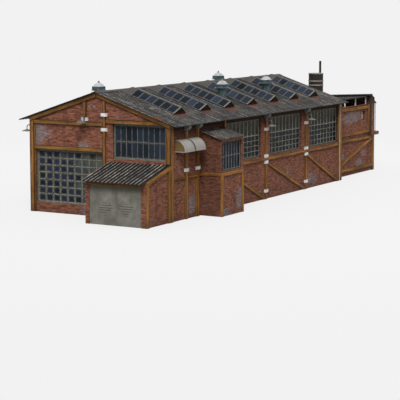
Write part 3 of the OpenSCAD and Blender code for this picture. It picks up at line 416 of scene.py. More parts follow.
def make_brick():
    """Weathered red brick with pale joints, odd pale bricks, grey lime patches, and painted shade under the
    long eaves, on the bay's side and on the fin's side face.
    """
    new_material("red_brick")
    plane = face_plane()
    where = place_of()
    bricks = make_bricks(plane, rgb(142, 88, 68), rgb(84, 47, 34), rgb(108, 79, 63))
    courses = speckle(scaled(plane, (2.8, 11.0, 1.0)), 1.0, 5.0, 0.7)
    colour = shade(between(courses, 0.53, 0.66, 0.0, 0.7), bricks["Color"], rgb(160, 111, 92))
    deep = speckle(scaled(plane, (2.2, 8.0, 1.0), shift=(7.3, 2.1, 0)), 1.0, 5.0, 0.7)
    colour = shade(between(deep, 0.52, 0.66, 0.0, 0.72), colour, rgb(74, 36, 25))
    grey = between(speckle(where, 0.6, 6.0, 0.62, 0.3), 0.62, 0.74, 0.0, 0.4)
    for middle, size in GREY_PATCHES:
        grey = calc("MAXIMUM", grey, times(blotch(where, middle, size), 0.62))
    lime_and_shade_grey = shade(between(courses, 0.35, 0.65), rgb(82, 78, 82), rgb(144, 140, 140))
    colour = shade(grey, colour, lime_and_shade_grey)
    # Painted shade: dark brown laid over the brick under the long eaves and on the bay's side and the fin's
    # side face
    colour = shade(painted_shade_on_brick(where), colour, rgb(46, 26, 15))
    dirty = grimed(colour, rgb(60, 38, 29), 0.5, 0.3)
    height = plus(times(bricks["Fac"], -1.0), times(courses, 0.5))
    return close(dirty, 0.92, height, 0.008, 0.25)


def make_timber(name, dark, light):
    """Brown oiled timber, streaked along each board, every board with its own tone."""
    new_material(name)
    point = put("ShaderNodeAttribute", attribute_name="grain").outputs["Vector"]
    board = put("ShaderNodeAttribute", attribute_name="board").outputs["Fac"]
    grain = use(WOOD_GRAIN, {"Point": point})
    colour = shade(between(grain["Tone"], 0.36, 0.64), rgb(*dark), rgb(*light))
    spots = speckle(place_of(), 2.2, 5.0, 0.65)
    colour = shade(between(spots, 0.58, 0.74, 0.0, 0.7), colour, tint(dark, 0.8))
    colour = dimmed(colour, between(board, 0.0, 1.0, 0.86, 1.05))
    dirty = grimed(colour, rgb(54, 35, 16), 0.45, 0.5)
    rough = between(grain["Tone"], 0.2, 0.8, 0.85, 0.65)
    return close(dirty, rough, grain["Height"], 0.004, 0.25)


def make_sheet(name, axis, start, pitch, crests, rust_from, calm, valleys=(9, 9, 8), below_skylights=False):
    """Weathered grey corrugated sheet, light on the crests and dark in the valleys, partly wear and dirt and
    partly painted light and shade, with painted glints on the crests, and rust.
    """
    new_material(name)
    where = place_of()
    axes = parts_of(where)
    waves = use(CREST, {"Along": axes[axis], "Start": BASE[axis] + start, "Pitch": pitch})
    crest = waves["Crest"]
    cell = [1.0, 1.0, 0.0]
    cell[axis] = 1.0 / (pitch * SHEET_WAVES)
    cell[1 - axis] = 0.45
    sheet = vector_calc("FLOOR", scaled(where, tuple(cell)))[0]
    sheet = dice({"Vector": sheet}, "3D")
    runs = scaled(where, tuple(9.0 if k == axis else 0.9 for k in range(3)))
    worn = speckle(runs, 1.0, 6.0, 0.7)
    # Crests lighter than valleys: partly wear and dirt, partly painted light and shade
    crest_wear_and_light = times(crest, between(worn, 0.3, 0.65, 0.15, 1.0))
    crest_wear_and_light = times(crest_wear_and_light, between(waves["Wave"], 0.1, 0.9, calm, 1.0))
    lengths = scaled(where, tuple(1.6 if k == axis else 3.2 for k in range(3)))
    marks = speckle(lengths, 1.0, 3.0, 0.6)
    crest_wear_and_light = times(crest_wear_and_light, between(marks, 0.38, 0.6, 0.35, 1.0))
    colour = shade(crest_wear_and_light, rgb(*valleys), rgb(*crests))
    colour = dimmed(colour, between(sheet, 0.0, 1.0, 0.72, 1.15))
    # Painted glints: pale specks of painted highlight on the crests
    painted_glints = between(speckle(where, 8.0, 2.0, 0.5), 0.64, 0.7, 0.0, 0.8)
    colour = shade(times(painted_glints, crest), colour, rgb(168, 164, 160))
    rust = speckle(scaled(where, (0.9, 0.9, 0.9), shift=(3.1, 1.7, 0)), 0.9, 7.0, 0.68, 0.2)
    rust = plus(rust, times(speckle(runs, 1.6, 3.0), 0.25))
    rust = between(rust, rust_from, rust_from + 0.14, 0.0, 0.85)
    if below_skylights:
        rust = calc("MAXIMUM", rust, rust_below_skylights(axes, worn))
    rusty = shade(crest, rgb(48, 26, 19), rgb(126, 76, 60))
    colour = shade(rust, colour, rusty)
    rough = between(worn, 0.2, 0.8, 0.55, 0.8)
    return close(colour, rough, speckle(where, 24.0, 3.0), 0.003, 0.3)


def rust_below_skylights(axes, worn):
    """Rust that runs down the sheets from the foot of each skylight."""
    count = calc("DIVIDE", minus(axes[0], BASE.x + SKY_FIRST), SKY_PITCH)
    side = minus(calc("FRACT", plus(count, 0.5)), 0.5)
    side = calc("ABSOLUTE", times(side, SKY_PITCH))
    down = calc("DIVIDE", minus(BASE.y + RIDGE_Y, axes[1]), math.cos(ROOF_A))
    ragged = minus(worn, 0.5)
    beside = between(plus(side, ragged), 0.95, 0.45)
    below = between(plus(down, ragged), UPPER_LEN + 0.75, UPPER_LEN + 0.1)
    above = between(down, UPPER_LEN - 0.1, UPPER_LEN)
    return times(times(beside, times(below, above)), 0.95)


def make_glass(
    name, columns, rows, dirt_span, clean, edge_reach,
    film_colour=(70, 71, 64), spread=(0.72, 1.25), side_dirt=None,
):
    """Dark panes, each with its own tone, dirty round the edges, towards the top and towards one side."""
    new_material(name)
    pane = use(PANE, {"Columns": float(columns), "Rows": float(rows)})
    where = place_of()
    film = speckle(where, 2.4, 5.0, 0.65)
    loose = times(minus(film, 0.5), 0.5)
    loose = plus(loose, times(minus(pane["Tone"], 0.5), 0.3))
    tone = shade(pane["Tone"], tint(clean, spread[0]), tint(clean, spread[1]))
    dirt = between(plus(pane["Up"], loose), *dirt_span, 0.0, 0.9)
    if side_dirt:
        sides = between(plus(pane["Along"], loose), *side_dirt, 0.0, 0.85)
        dirt = calc("MAXIMUM", dirt, sides)
    fine = minus(speckle(where, 9.0, 4.0, 0.65), 0.5)
    edge = plus(pane["Inside"], times(fine, 0.5))
    edge = between(edge, edge_reach, edge_reach * 0.4, 0.0, 0.85)
    dirt = calc("MAXIMUM", dirt, edge, clamp=True)
    grey = shade(film, tint(film_colour, 0.72), tint(film_colour, 1.18))
    colour = shade(dirt, tone, grey)
    rough = between(dirt, 0.0, 0.8, 0.3, 0.8)
    return close(colour, rough, film, 0.002, 0.04)


def make_paint(name, colour, worn_colour, worn, rough, streaks, gloss=0.4):
    """Old paint on metal, worn in spots and streaked by rain."""
    new_material(name)
    where = place_of()
    spots = speckle(where, 7.0, 7.0, 0.7)
    tone = speckle(where, 1.1, 3.0)
    base = shade(tone, tint(colour, 0.85), tint(colour, 1.08))
    base = shade(between(spots, *worn), base, rgb(*worn_colour))
    dirty = grimed(base, tint(colour, 0.45), streaks)
    roughness = between(spots, 0.3, 0.7, rough, min(rough + 0.25, 0.95))
    return close(dirty, roughness, spots, 0.002, gloss)


def make_frame_paint():
    """Grey-green paint on the window frames, darkened by painted shade on the frames behind the front gable,
    most towards the eaves.
    """
    new_material("frame_paint")
    where = place_of()
    spots = speckle(where, 6.0, 6.0, 0.7)
    colour = shade(between(spots, 0.4, 0.66), rgb(84, 86, 78), rgb(114, 114, 102))
    x, _, z = parts_of(where)
    behind = calc("GREATER_THAN", x, BASE.x + 1.0)
    # Painted shade: frames behind the front gable darkened by at least half, most near the eaves
    painted_shade = times(behind, between(z, 2.6, 5.2, 0.55, 0.95))
    return close(shade(painted_shade, colour, rgb(28, 25, 20)), 0.7, spots, 0.002, 0.2)


def make_slim_posts():
    """White posts under the cover and duller ones on the balcony."""
    new_material("slim_post_paint")
    where = place_of()
    spots = speckle(where, 6.0, 6.0, 0.7)
    white = shade(between(spots, 0.45, 0.7), rgb(214, 213, 210), rgb(150, 144, 134))
    dull = shade(between(spots, 0.4, 0.7), rgb(200, 196, 193), rgb(152, 144, 138))
    low = calc("LESS_THAN", parts_of(where)[2], 5.05)
    return close(shade(low, white, dull), 0.6, spots, 0.002, 0.3)


def make_render():
    """Worn grey render, darkened at the top by painted shade under the lean-to roof, with two patches where
    dark brick joints show.
    """
    new_material("worn_render")
    where = place_of()
    plane = face_plane()
    z = parts_of(where)[2]
    cloud = speckle(where, 1.4, 6.0, 0.65)
    colour = shade(between(cloud, 0.3, 0.7), rgb(97, 95, 85), rgb(124, 123, 116))
    pale, dull, joint = rgb(114, 113, 104), rgb(102, 100, 91), rgb(40, 35, 27)
    bricks = make_bricks(plane, pale, dull, joint, 0.018, 4.0, 0.14)
    spots = [blotch(where, (-LEAN_OUT, across, 0.95), (0.6, 0.55, 0.42)) for across in (1.35, 2.75)]
    patch = calc("MAXIMUM", *spots)
    colour = shade(times(patch, 0.8), colour, bricks["Color"])
    # Painted shade: the top of the panel darkened under the lean-to roof
    top = plus(z, times(cloud, 0.5))
    colour = shade(between(top, 2.0, 2.5, 0.0, 0.55), colour, rgb(78, 72, 54))
    dirty = grimed(colour, rgb(78, 73, 60), 0.35, 0.2)
    joints = times(times(patch, bricks["Fac"]), -1.0)
    return close(dirty, 0.93, plus(cloud, joints), 0.01, 0.2)


def make_awning():
    """Faded cream sheet with brown stains, and ochre ends that are partly the cloth's colour and partly
    painted shade.
    """
    new_material("faded_awning")
    where = place_of()
    cloud = speckle(where, 2.2, 6.0, 0.65)
    cream = shade(cloud, rgb(124, 120, 114), rgb(158, 154, 149))
    stain = speckle(scaled(where, (5.0, 1.2, 1.2)), 1.0, 5.0, 0.7)
    cream = shade(between(stain, 0.56, 0.74, 0.0, 0.5), cream, rgb(120, 108, 90))
    # Ends facing along the building: ochre, partly the cloth's colour and partly painted shade
    ochre_ends_and_shade = shade(cloud, rgb(84, 64, 34), rgb(126, 102, 64))
    return close(shade(looks_along(0), cream, ochre_ends_and_shade), 0.8, cloud, 0.004, 0.25)


def make_vent():
    """Pale domes and brims over teal drums and necks."""
    new_material("ventilator_paint")
    where = place_of()
    cap = between(normal_of()[2], 0.1, 0.4)
    cloud = speckle(where, 3.5, 6.0, 0.65)
    teal = shade(between(cloud, 0.35, 0.65), rgb(30, 45, 49), rgb(76, 96, 100))
    rust = between(speckle(where, 2.1, 5.0), 0.56, 0.7)
    pale = shade(cloud, rgb(134, 138, 138), rgb(186, 188, 188))
    colour = shade(cap, shade(rust, teal, rgb(74, 44, 34)), pale)
    dirty = grimed(colour, rgb(52, 48, 44), 0.4, 0.0)
    return close(dirty, 0.5, cloud, 0.003, 0.4)


BRICK = make_brick()
TIMBER = make_timber("oiled_timber", (80, 49, 15), (144, 101, 48))
SIDE_TIMBER = make_timber("pale_oiled_timber", (90, 55, 18), (162, 112, 51))
BATTENS = make_timber("batten_timber", (78, 48, 16), (138, 96, 45))
# Dark timber on the boards' rims and cut edges: painted shade along the timbers
TIMBER_EDGE_SHADE = make_timber("timber_edge_shade", (36, 21, 8), (66, 42, 18))
SHEETS = make_sheet(
    "hall_sheets", 0, -VERGE_OVER, HALL_PITCH, (170, 166, 161), 0.74, 0.35, below_skylights=True,
)
LEAN_START = LEAN_W - 2 * CREST_AT * LEAN_PITCH
LEAN_SHEETS = make_sheet("lean_to_sheets", 1, LEAN_START, LEAN_PITCH, (176, 167, 157), 0.72, 0.7)
BAY_SHEETS = make_sheet("bay_sheets", 0, BAY_ROOF_START, BAY_ROOF_LEN / BAY_WAVES, (172, 163, 155), 0.74, 0.7)
COVER_PITCH = COVER_LEN / COVER_WAVES
COVER_SHEETS = make_sheet("cover_sheets", 0, COVER_START, COVER_PITCH, (74, 73, 72), 0.8, 0.35, (20, 20, 20))
FLAT_SHEET = make_paint("flat_sheet", (64, 61, 59), (96, 62, 50), (0.56, 0.72), 0.65, 0.5)
BARS = make_paint("glazing_bars", (132, 130, 115), (60, 58, 46), (0.46, 0.6), 0.7, 0.3, gloss=0.2)
# Lighter bars for windows of one row, as painted light against the shade of the eaves
LIT_TOP_BARS = make_paint("top_bars_painted_light", (154, 151, 137), (88, 85, 73), (0.5, 0.64), 0.7, 0.3, gloss=0.2)
PALE_BARS = make_paint("pale_bars", (122, 126, 126), (70, 70, 64), (0.5, 0.62), 0.7, 0.3, gloss=0.2)
SKY_BARS = make_paint("skylight_bars", (108, 107, 104), (70, 64, 58), (0.54, 0.68), 0.65, 0.3, gloss=0.2)
STEEL = make_frame_paint()
WHITE = make_paint("white_paint", (220, 219, 218), (150, 144, 134), (0.62, 0.75), 0.5, 0.3)
HOOPS = make_paint("hoop_paint", (136, 128, 116), (96, 84, 70), (0.54, 0.7), 0.65, 0.4, gloss=0.2)
IRON = make_paint("sooted_iron", (30, 28, 26), (66, 46, 33), (0.54, 0.7), 0.6, 0.4, gloss=0.3)
DARK_FELT = make_paint("roof_felt", (26, 26, 25), (42, 40, 38), (0.55, 0.7), 0.9, 0.2, gloss=0.1)
DARK_BOARD = make_paint("dark_board", (46, 31, 21), (66, 45, 30), (0.5, 0.66), 0.85, 0.4, gloss=0.1)
# Dark brown on the wall plates and purlins: painted shade under the eaves, darker than the timber itself
SHADE_DARK_SOFFIT = make_paint("shade_darkened_soffit", (52, 36, 22), (72, 50, 30), (0.5, 0.66), 0.9, 0.4, gloss=0.1)
GREY = make_paint("grey_paint", (118, 118, 116), (72, 68, 62), (0.56, 0.7), 0.55, 0.5)
LAMP = make_paint("lamp_enamel", (106, 105, 100), (140, 138, 132), (0.58, 0.72), 0.4, 0.2)
BULB = make_paint("frosted_bulb", (206, 204, 192), (180, 176, 160), (0.6, 0.8), 0.25, 0.0)
SLIM_POSTS = make_slim_posts()
RENDER = make_render()
AWNING = make_awning()
VENT = make_vent()

NODE_FINISHES = {
    BRICK: (
        "front_gable_wall", "rear_gable_wall", "near_lower_wall", "near_upper_wall", "far_lower_wall",
        "far_upper_wall", "lean_to_walls", "bay_walls", "annex_side_walls", "annex_floor",
    ),
    SHADE_DARK_SOFFIT: ("wall_plates", "purlins"),
    DARK_BOARD: ("skylight_frames",),
    SHEETS: ("eaves_sheets", "upper_sheets"),
    FLAT_SHEET: ("ridge_cap", "skylight_hips"),
    LEAN_SHEETS: ("lean_to_roof",),
    BAY_SHEETS: ("bay_roof",),
    STEEL: ("window_frames",),
    WHITE: ("band_clamps",),
    HOOPS: ("stack_hoops",),
    IRON: ("stack", "mast"),
    DARK_FELT: ("annex_roof_deck",),
    GREY: ("eaves_brackets",),
    LAMP: ("wall_lamps",),
    RENDER: ("lean_to_panel",),
    AWNING: ("awnings",),
    VENT: ("ventilators",),
}


def paint(piece, *finishes):
    """Puts finishes in a piece's emptied slots."""
    piece.data.materials.clear()
    for finish in finishes:
        piece.data.materials.append(finish)


for finish, names in NODE_FINISHES.items():
    for name in names:
        paint(nodes[name], finish)


# Modelling by hand

# Width of the cut edges of trim, timbers, door boards, brickwork and strips
TRIM_CUT, TIMBER_CUT, DOOR_CUT, BRICK_CUT, STRIP_CUT = 0.008, 0.01, 0.007, 0.015, 0.006
# Widths of the rims of painted shade along the timbers on the gables and the long sides, and the angle from
# which an edge is cut
GABLE_SHADE_RIM, SIDE_SHADE_RIM, SHARP = 0.03, 0.018, 0.6
# A length that counts as nothing, a slight overlap or lift, and what is merged in copies of the solids
HAIR, SLIGHT, MERGED, FLAT = 1e-5, 0.002, 0.0002, 0.01
# Turned shapes as radius and height from the foot up, and the number of their sides
BOLT = ((0.02, -0.004), (0.02, 0.012), (0.012, 0.02))
HOOK = ((0.024, -0.004), (0.024, 0.006), (0.01, 0.018))
ANCHOR = ((0.08, -0.005), (0.08, 0.012), (0.06, 0.02), (0.03, 0.022), (0.025, 0.05))
FLASHING = ((0.44, -0.02), (0.44, 0.008), (0.36, 0.014), (0.31, 0.05), (0.295, 0.12))
KNOB = ((0.07, -0.02), (0.07, 0.02), (0.045, 0.04), (0.055, 0.07), (0.045, 0.1), (0.015, 0.12))
LAMP_BULB = ((0.025, -0.042), (0.045, -0.02), (0.048, 0.01), (0.03, 0.045), (0.018, 0.06), (0.018, 0.1))
SIX_SIDES, ROUND, SMOOTH, FINE = 6, 16, 32, 96


def select_none():
    """Deselects everything, so that what comes next is shaped alone."""
    bpy.ops.object.select_all(action="DESELECT")


def only(*objects):
    """Selects these objects alone, the last one active."""
    select_none()
    for one in objects:
        one.select_set(True)
    bpy.context.view_layer.objects.active = objects[-1]


def editing(on):
    """Goes into edit mode with all selected, or back."""
    bpy.ops.object.mode_set(mode="EDIT" if on else "OBJECT")
    if on:
        bpy.ops.mesh.select_mode(type="FACE")
        bpy.ops.mesh.select_all(action="SELECT")


def pick(test):
    """Selects the active object's faces that pass a test, in edit mode."""
    bpy.ops.mesh.select_all(action="DESELECT")
    bpy.ops.object.mode_set(mode="OBJECT")
    for face in bpy.context.object.data.polygons:
        face.select = test(face)
    bpy.ops.object.mode_set(mode="EDIT")


def settle():
    """Puts the active object's place and size into its mesh."""
    bpy.ops.object.transform_apply(location=True, rotation=True, scale=True)
    return bpy.context.object


def apply(kind, **settings):
    """Adds a modifier to the active object and applies it."""
    piece = bpy.context.object
    modifier = piece.modifiers.new(kind.lower(), kind)
    for key, value in settings.items():
        setattr(modifier, key, value)
    bpy.ops.object.modifier_apply(modifier=modifier.name)


def named(piece, name):
    """Names a piece and its mesh."""
    piece.name = piece.data.name = name
    return piece


def joined(pieces, name):
    """Makes one piece of several."""
    only(*pieces)
    if len(pieces) > 1:
        bpy.ops.object.join()
    return named(bpy.context.object, name)


def repeat(first, places, name):
    """Copies a modelled piece to each place and joins the copies into one piece."""
    copies = []
    for place in places:
        one = first.copy()
        one.data = first.data.copy()
        one.data.transform(place)
        if place.determinant() < 0:
            one.data.flip_normals()
        bpy.context.collection.objects.link(one)
        copies.append(one)
    bpy.data.objects.remove(first)
    return joined(copies, name)


def dress(piece, slot, *finishes):
    """Gives a piece its finishes and the body that it rides on; the slot is not used."""
    if finishes:
        paint(piece, *finishes)
    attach(piece, "root")
    return piece


def facing(centre, side):
    """Place of a flat piece drawn in X and Y, set upright and turned to a side of the building."""
    turns = {"near": 0, "far": math.pi, "front": -math.pi / 2, "rear": math.pi / 2}
    return move(centre) @ turn(turns[side], "Z") @ turn(math.pi / 2, "X")


def on_slope(x, far):
    """Place on a roof slope: X along the ridge, -Y down the slope and Z out of the roof."""
    flip = Matrix.Scale(-1, 4, (0, 1, 0)) if far else Matrix.Identity(4)
    return move(site(x, RIDGE_Y, RIDGE_UNDER)) @ flip @ turn(ROOF_A, "X")


def block(low, high, cut=TRIM_CUT):
    """Squared piece between two corners of the building, with its edges cut."""
    low, high = site(*low), site(*high)
    select_none()
    bpy.ops.mesh.primitive_cube_add(size=1, location=(low + high) / 2)
    bpy.context.object.scale = high - low
    piece = settle()
    editing(True)
    bpy.ops.mesh.bevel(offset=cut, segments=1, affect="EDGES")
    editing(False)
    return piece


def strip(length, width, thick):
    """Flat strip about the origin, along X, with its edges cut."""
    piece = block((-length / 2, -width / 2, -thick / 2), (length / 2, width / 2, thick / 2), STRIP_CUT)
    piece.data.transform(move(-site(0, 0, 0)))
    return piece


def turned(sections, sides):
    """Turned piece on Z, drawn up through sections of radius and height."""
    (radius, low), (_, high) = sections[0], sections[1]
    middle = (0, 0, (low + high) / 2)
    select_none()
    bpy.ops.mesh.primitive_cylinder_add(vertices=sides, radius=radius, depth=high - low, location=middle)
    piece = settle()
    editing(True)
    height = high
    for step, (wide, level) in enumerate(sections[1:]):
        pick(lambda face: face.normal.z > FACING and face.center.z > height - HAIR)
        if step:
            bpy.ops.mesh.extrude_region_move(TRANSFORM_OT_translate={"value": (0, 0, level - height)})
        share = wide / radius
        bpy.ops.transform.resize(value=(share, share, 1), center_override=(0, 0, level))
        radius, height = wide, level
    editing(False)
    return piece


def grain_along(piece):
    """Writes each board's own lengthwise coordinates, and a number for its tone."""
    golden = 0.618
    mesh = piece.data
    owner = list(range(len(mesh.vertices)))

    def root(index):
        while owner[index] != index:
            owner[index] = owner[owner[index]]
            index = owner[index]
        return index

    for edge in mesh.edges:
        owner[root(edge.vertices[0])] = root(edge.vertices[1])
    longest = {}
    for edge in mesh.edges:
        run = mesh.vertices[edge.vertices[1]].co - mesh.vertices[edge.vertices[0]].co
        key = root(edge.vertices[0])
        if run.length > longest.get(key, Vector()).length + HAIR:
            longest[key] = run
    order = {key: number for number, key in enumerate(sorted(longest))}
    mesh.attributes.new("grain", "FLOAT_VECTOR", "POINT")
    mesh.attributes.new("board", "FLOAT", "POINT")
    grain, tone = mesh.attributes["grain"], mesh.attributes["board"]
    for vertex in mesh.vertices:
        key = root(vertex.index)
        along = longest[key].normalized()
        across = along.orthogonal().normalized()
        spot = (vertex.co.dot(along), vertex.co.dot(across), vertex.co.dot(along.cross(across)))
        grain.data[vertex.index].vector = spot
        tone.data[vertex.index].value = order[key] * golden % 1.0
    return piece


# Timbers: each board of the frame with cut edges, with painted shade along them


def copy_of(node, name):
    """Merged copy of a node as a new piece."""
    piece = bpy.data.objects.new(name, nodes[node].data.copy())
    bpy.context.collection.objects.link(piece)
    only(piece)
    editing(True)
    bpy.ops.mesh.remove_doubles(threshold=MERGED)
    bpy.ops.mesh.dissolve_limited(angle_limit=FLAT)
    editing(False)
    return named(piece, name)


def dressed_timbers(node, finish, rim):
    """Copy of a node's boards with cut edges and rims of painted shade, which stands for the node."""
    piece = copy_of(node, node + "_boards")
    editing(True)
    # The rim of every face and the cut edges get the painted shade finish
    bpy.ops.mesh.inset(thickness=rim, use_individual=True)
    dress(piece, "timber", finish, TIMBER_EDGE_SHADE)
    bpy.ops.mesh.select_all(action="INVERT")
    piece.active_material_index = 1
    bpy.ops.object.material_slot_assign()
    editing(False)
    apply("BEVEL", width=TIMBER_CUT, segments=1, limit_method="ANGLE", angle_limit=SHARP, material=1)
    grain_along(piece)
    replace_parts(piece, node)


for node in ("gable_posts", "gable_ties", "gable_rafters"):
    dressed_timbers(node, TIMBER, GABLE_SHADE_RIM)
for node in ("side_posts", "side_rails", "side_braces"):
    dressed_timbers(node, SIDE_TIMBER, SIDE_SHADE_RIM)


def cut_off(point, normal):
    """Cuts away what lies beyond a plane of the active piece, and closes the cut."""
    editing(True)
    bpy.ops.mesh.bisect(plane_co=site(*point), plane_no=normal, use_fill=True, clear_outer=True)
    editing(False)


def lean_to_boards():
    """Posts, rafter and beam of the lean-to."""
    drop = TIMBER_W / math.cos(LEAN_A)
    fall = Vector((-math.sin(LEAN_A), 0, math.cos(LEAN_A)))
    pieces = []
    for x in ((-LEAN_OUT, -LEAN_OUT + TIMBER_W), (-CORNER_W, 0)):
        pieces.append(block((x[0], -TIMBER_T, 0), (x[1], 0, LEAN_TOP), TIMBER_CUT))
        cut_off((0, 0, LEAN_UNDER - drop), fall)
    spare = 0.3
    rafter = block((-LEAN_OUT - spare, -TIMBER_T, -TIMBER_W), (spare, 0, 0), TIMBER_CUT)
    swing = move(site(0, 0, LEAN_UNDER)) @ turn(-LEAN_A, "Y")
    rafter.data.transform(swing @ move(-site(0, 0, 0)))
    only(rafter)
    cut_off((0, 0, 0), (1, 0, 0))
    cut_off((-LEAN_OUT, 0, 0), (-1, 0, 0))
    pieces.append(rafter)
    low, high = (-LEAN_OUT, LEAN_WALL, PANEL_H), (-LEAN_OUT + LEAN_WALL, LEAN_W - LEAN_WALL, LEAN_TOP)
    pieces.append(block(low, high, TIMBER_CUT))
    cut_off((0, 0, LEAN_UNDER), fall)
    piece = grain_along(joined(pieces, "lean_to_boards"))
    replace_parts(dress(piece, "timber", TIMBER), "lean_to_frame")


def bay_boards():
    """Rail round the bay in three pieces and the two posts under it."""
    low, high = BAY_RAIL
    left, right = BAY[0] - BAY_TIMBER, BAY[1] + BAY_TIMBER
    front = -BAY_OUT - BAY_TIMBER
    pieces = [
        block((left, front, low), (right, -BAY_OUT, high), TIMBER_CUT),
        block((left, -BAY_OUT, low), (BAY[0], -TIMBER_T, high), TIMBER_CUT),
        block((BAY[1], -BAY_OUT, low), (right, -TIMBER_T, high), TIMBER_CUT),
    ]
    for x in (left, right - TIMBER_W):
        pieces.append(block((x, front, 0), (x + TIMBER_W, -BAY_OUT, low), TIMBER_CUT))
    for x in ((left, BAY[0]), (BAY[1], right)):
        pieces.append(block((x[0], -BAY_OUT, 0), (x[1], -BAY_OUT + BAY_TIMBER, low), TIMBER_CUT))
    piece = grain_along(joined(pieces, "bay_boards"))
    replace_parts(dress(piece, "timber", SIDE_TIMBER), "bay_frame")


def balcony_door_boards():
    """Boarded door to the balcony with its ledges."""
    wide, back, face = DOOR_W / DOOR_BOARDS, DOOR_X - DOOR_BACK, DOOR_X + DOOR_FACE
    pieces = []
    for i in range(DOOR_BOARDS):
        y = DOOR_Y + i * wide
        pieces.append(block((back, y, DOOR_Z), (face, y + wide, DOOR_Z + DOOR_H), DOOR_CUT))
    for rise in DOOR_LEDGES:
        low = (face, DOOR_Y + LEDGE_IN, DOOR_Z + rise)
        high = (face + LEDGE_T, DOOR_Y + DOOR_W - LEDGE_IN, DOOR_Z + rise + LEDGE_H)
        pieces.append(block(low, high, DOOR_CUT))
    piece = grain_along(joined(pieces, "balcony_door_boards"))
    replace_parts(dress(piece, "timber", TIMBER), "balcony_door")


def post_battens():
    """Battens beside the posts on the long sides and beside two corner posts of the front."""
    near, far = (-BATTEN_T, SLIGHT), (HALL_W - SLIGHT, HALL_W + BATTEN_T)
    spans = []
    for x in FRONT_POSTS + PIER_POSTS:
        for edge in (x - TIMBER_W / 2 - BATTEN_W, x + TIMBER_W / 2):
            for y in (near, far) if x in PIER_POSTS else (near,):
                spans.append(((edge, edge + BATTEN_W), y, 0))
    left = HALL_W - CORNER_W
    spans.append(((CORNER_W, CORNER_W + BATTEN_W), near, 0))
    spans.append((near, (TIMBER_W, TIMBER_W + BATTEN_W), CORNER_BATTEN_Z))
    spans.append((near, (left - BATTEN_W, left), 0))
    pieces = [block((x[0], y[0], foot), (x[1], y[1], BATTEN_TOP)) for x, y, foot in spans]
    dress(grain_along(joined(pieces, "post_battens")), "timber", BATTENS)


def annex_fin():
    """Near end of the annex's end wall, which stands out past the side wall on the edge of the slab."""
    fin = block((FIN_X[0], FIN_Y[0], FIN_Z[0]), (FIN_X[1], FIN_Y[1], FIN_Z[1]), BRICK_CUT)
    cut_off((FIN_SLOPE_X, 0, FIN_Z[1]), (CANOPY_FALL, 0, 1))
    edge = block((FIN_X[0], FIN_Y[0], SLAB_LOW), (BALCONY_END, FIN_Y[1], FIN_Z[0]), BRICK_CUT)
    dress(joined([fin, edge], "annex_fin"), "brick", BRICK)


def annex_end_tops():
    """End wall of the annex, its flashing, canopy and balcony posts, which fall to the far side."""
    under = (FIN_SLOPE_X, ANNEX_Y, END_TOP)
    below_canopy = (under, (CANOPY_FALL, END_FALL, 1))
    pivot = move(site(*under))
    tilt = pivot @ turn(-math.atan(END_FALL), "X") @ pivot.inverted()
    canopy = copy_of("balcony_canopy", "canopy_sheet")
    canopy.data.transform(tilt)
    apply("BEVEL", width=TRIM_CUT, segments=2, limit_method="ANGLE")
    slope = turn(math.atan(CANOPY_FALL), "Y") @ move((CANOPY_LEN / 2, 0, 0))
    seams = []
    for i in range(SEAM_COUNT):
        start = site(FIN_SLOPE_X, ANNEX_Y + SEAM_IN + i * SEAM_PITCH, END_TOP + CANOPY_T)
        seams.append(tilt @ move(start) @ slope)
    seams = repeat(strip(*SEAM), seams, "canopy_seams")
    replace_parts(dress(joined([seams, canopy], "canopy_sheet"), "roof_sheet", COVER_SHEETS), "balcony_canopy")
    cover = copy_of("annex_cover", "annex_cover_sheets")
    editing(True)
    pick(lambda face: face.center.z > END_TOP - SLIGHT)
    bpy.ops.mesh.delete(type="FACE")
    editing(False)
    low, high = (FIN_SLOPE_X - FLASH_W, FIN_Y[0], END_TOP), (FIN_SLOPE_X, HALL_W - ANNEX_Y, END_TOP + FLASH_T)
    flashing = block(low, high)
    flashing.data.transform(tilt)
    cover = joined([flashing, cover], "annex_cover_sheets")
    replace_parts(dress(cover, "roof_sheet", COVER_SHEETS), "annex_cover")
    wall = copy_of("annex_end_wall", "annex_end_brickwork")
    cut_off(under, (0, END_FALL, 1))
    cut_off(*below_canopy)
    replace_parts(dress(wall, "brick", BRICK), "annex_end_wall")
    posts = copy_of("slim_posts", "slim_steel_posts")
    cut_off(*below_canopy)
    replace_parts(dress(posts, "white_steel", SLIM_POSTS), "slim_posts")


lean_to_boards()
bay_boards()
balcony_door_boards()
post_battens()
annex_fin()
annex_end_tops()


# Windows: separate panes and glazing bars

PANE_T, PANE_LOOSE, BAR_DEPTH = 0.006, 0.004, 0.06


def flat_grid(columns, rows, width, height):
    """Flat grid of cells about the origin."""
    select_none()
    bpy.ops.mesh.primitive_grid_add(x_subdivisions=columns, y_subdivisions=rows, size=1)
    bpy.context.object.scale = (width, height, 1)
    return settle()


def pane_grid(columns, rows, width, height, finish):
    """Separate panes in a flat grid, each lying a little differently."""
    grid = flat_grid(columns, rows, width, height)
    editing(True)
    bpy.ops.mesh.edge_split(type="EDGE")
    bpy.ops.transform.vertex_random(offset=PANE_LOOSE, uniform=0.0, normal=1.0, seed=columns + rows)
    editing(False)
    apply("SOLIDIFY", thickness=PANE_T, offset=0.0)
    grid.data.materials.append(finish)
    return grid


def bar_grid(columns, rows, width, height, bar, depth):
    """Glazing bars as one lattice in a flat grid."""
    grid = flat_grid(columns, rows, width, height)
    apply("WIREFRAME", thickness=bar, use_even_offset=True, use_boundary=True, offset=0.0)
    grid.scale = (1, 1, depth / bar)
    settle()
    apply("BEVEL", width=STRIP_CUT, segments=1, limit_method="ANGLE")
    return grid


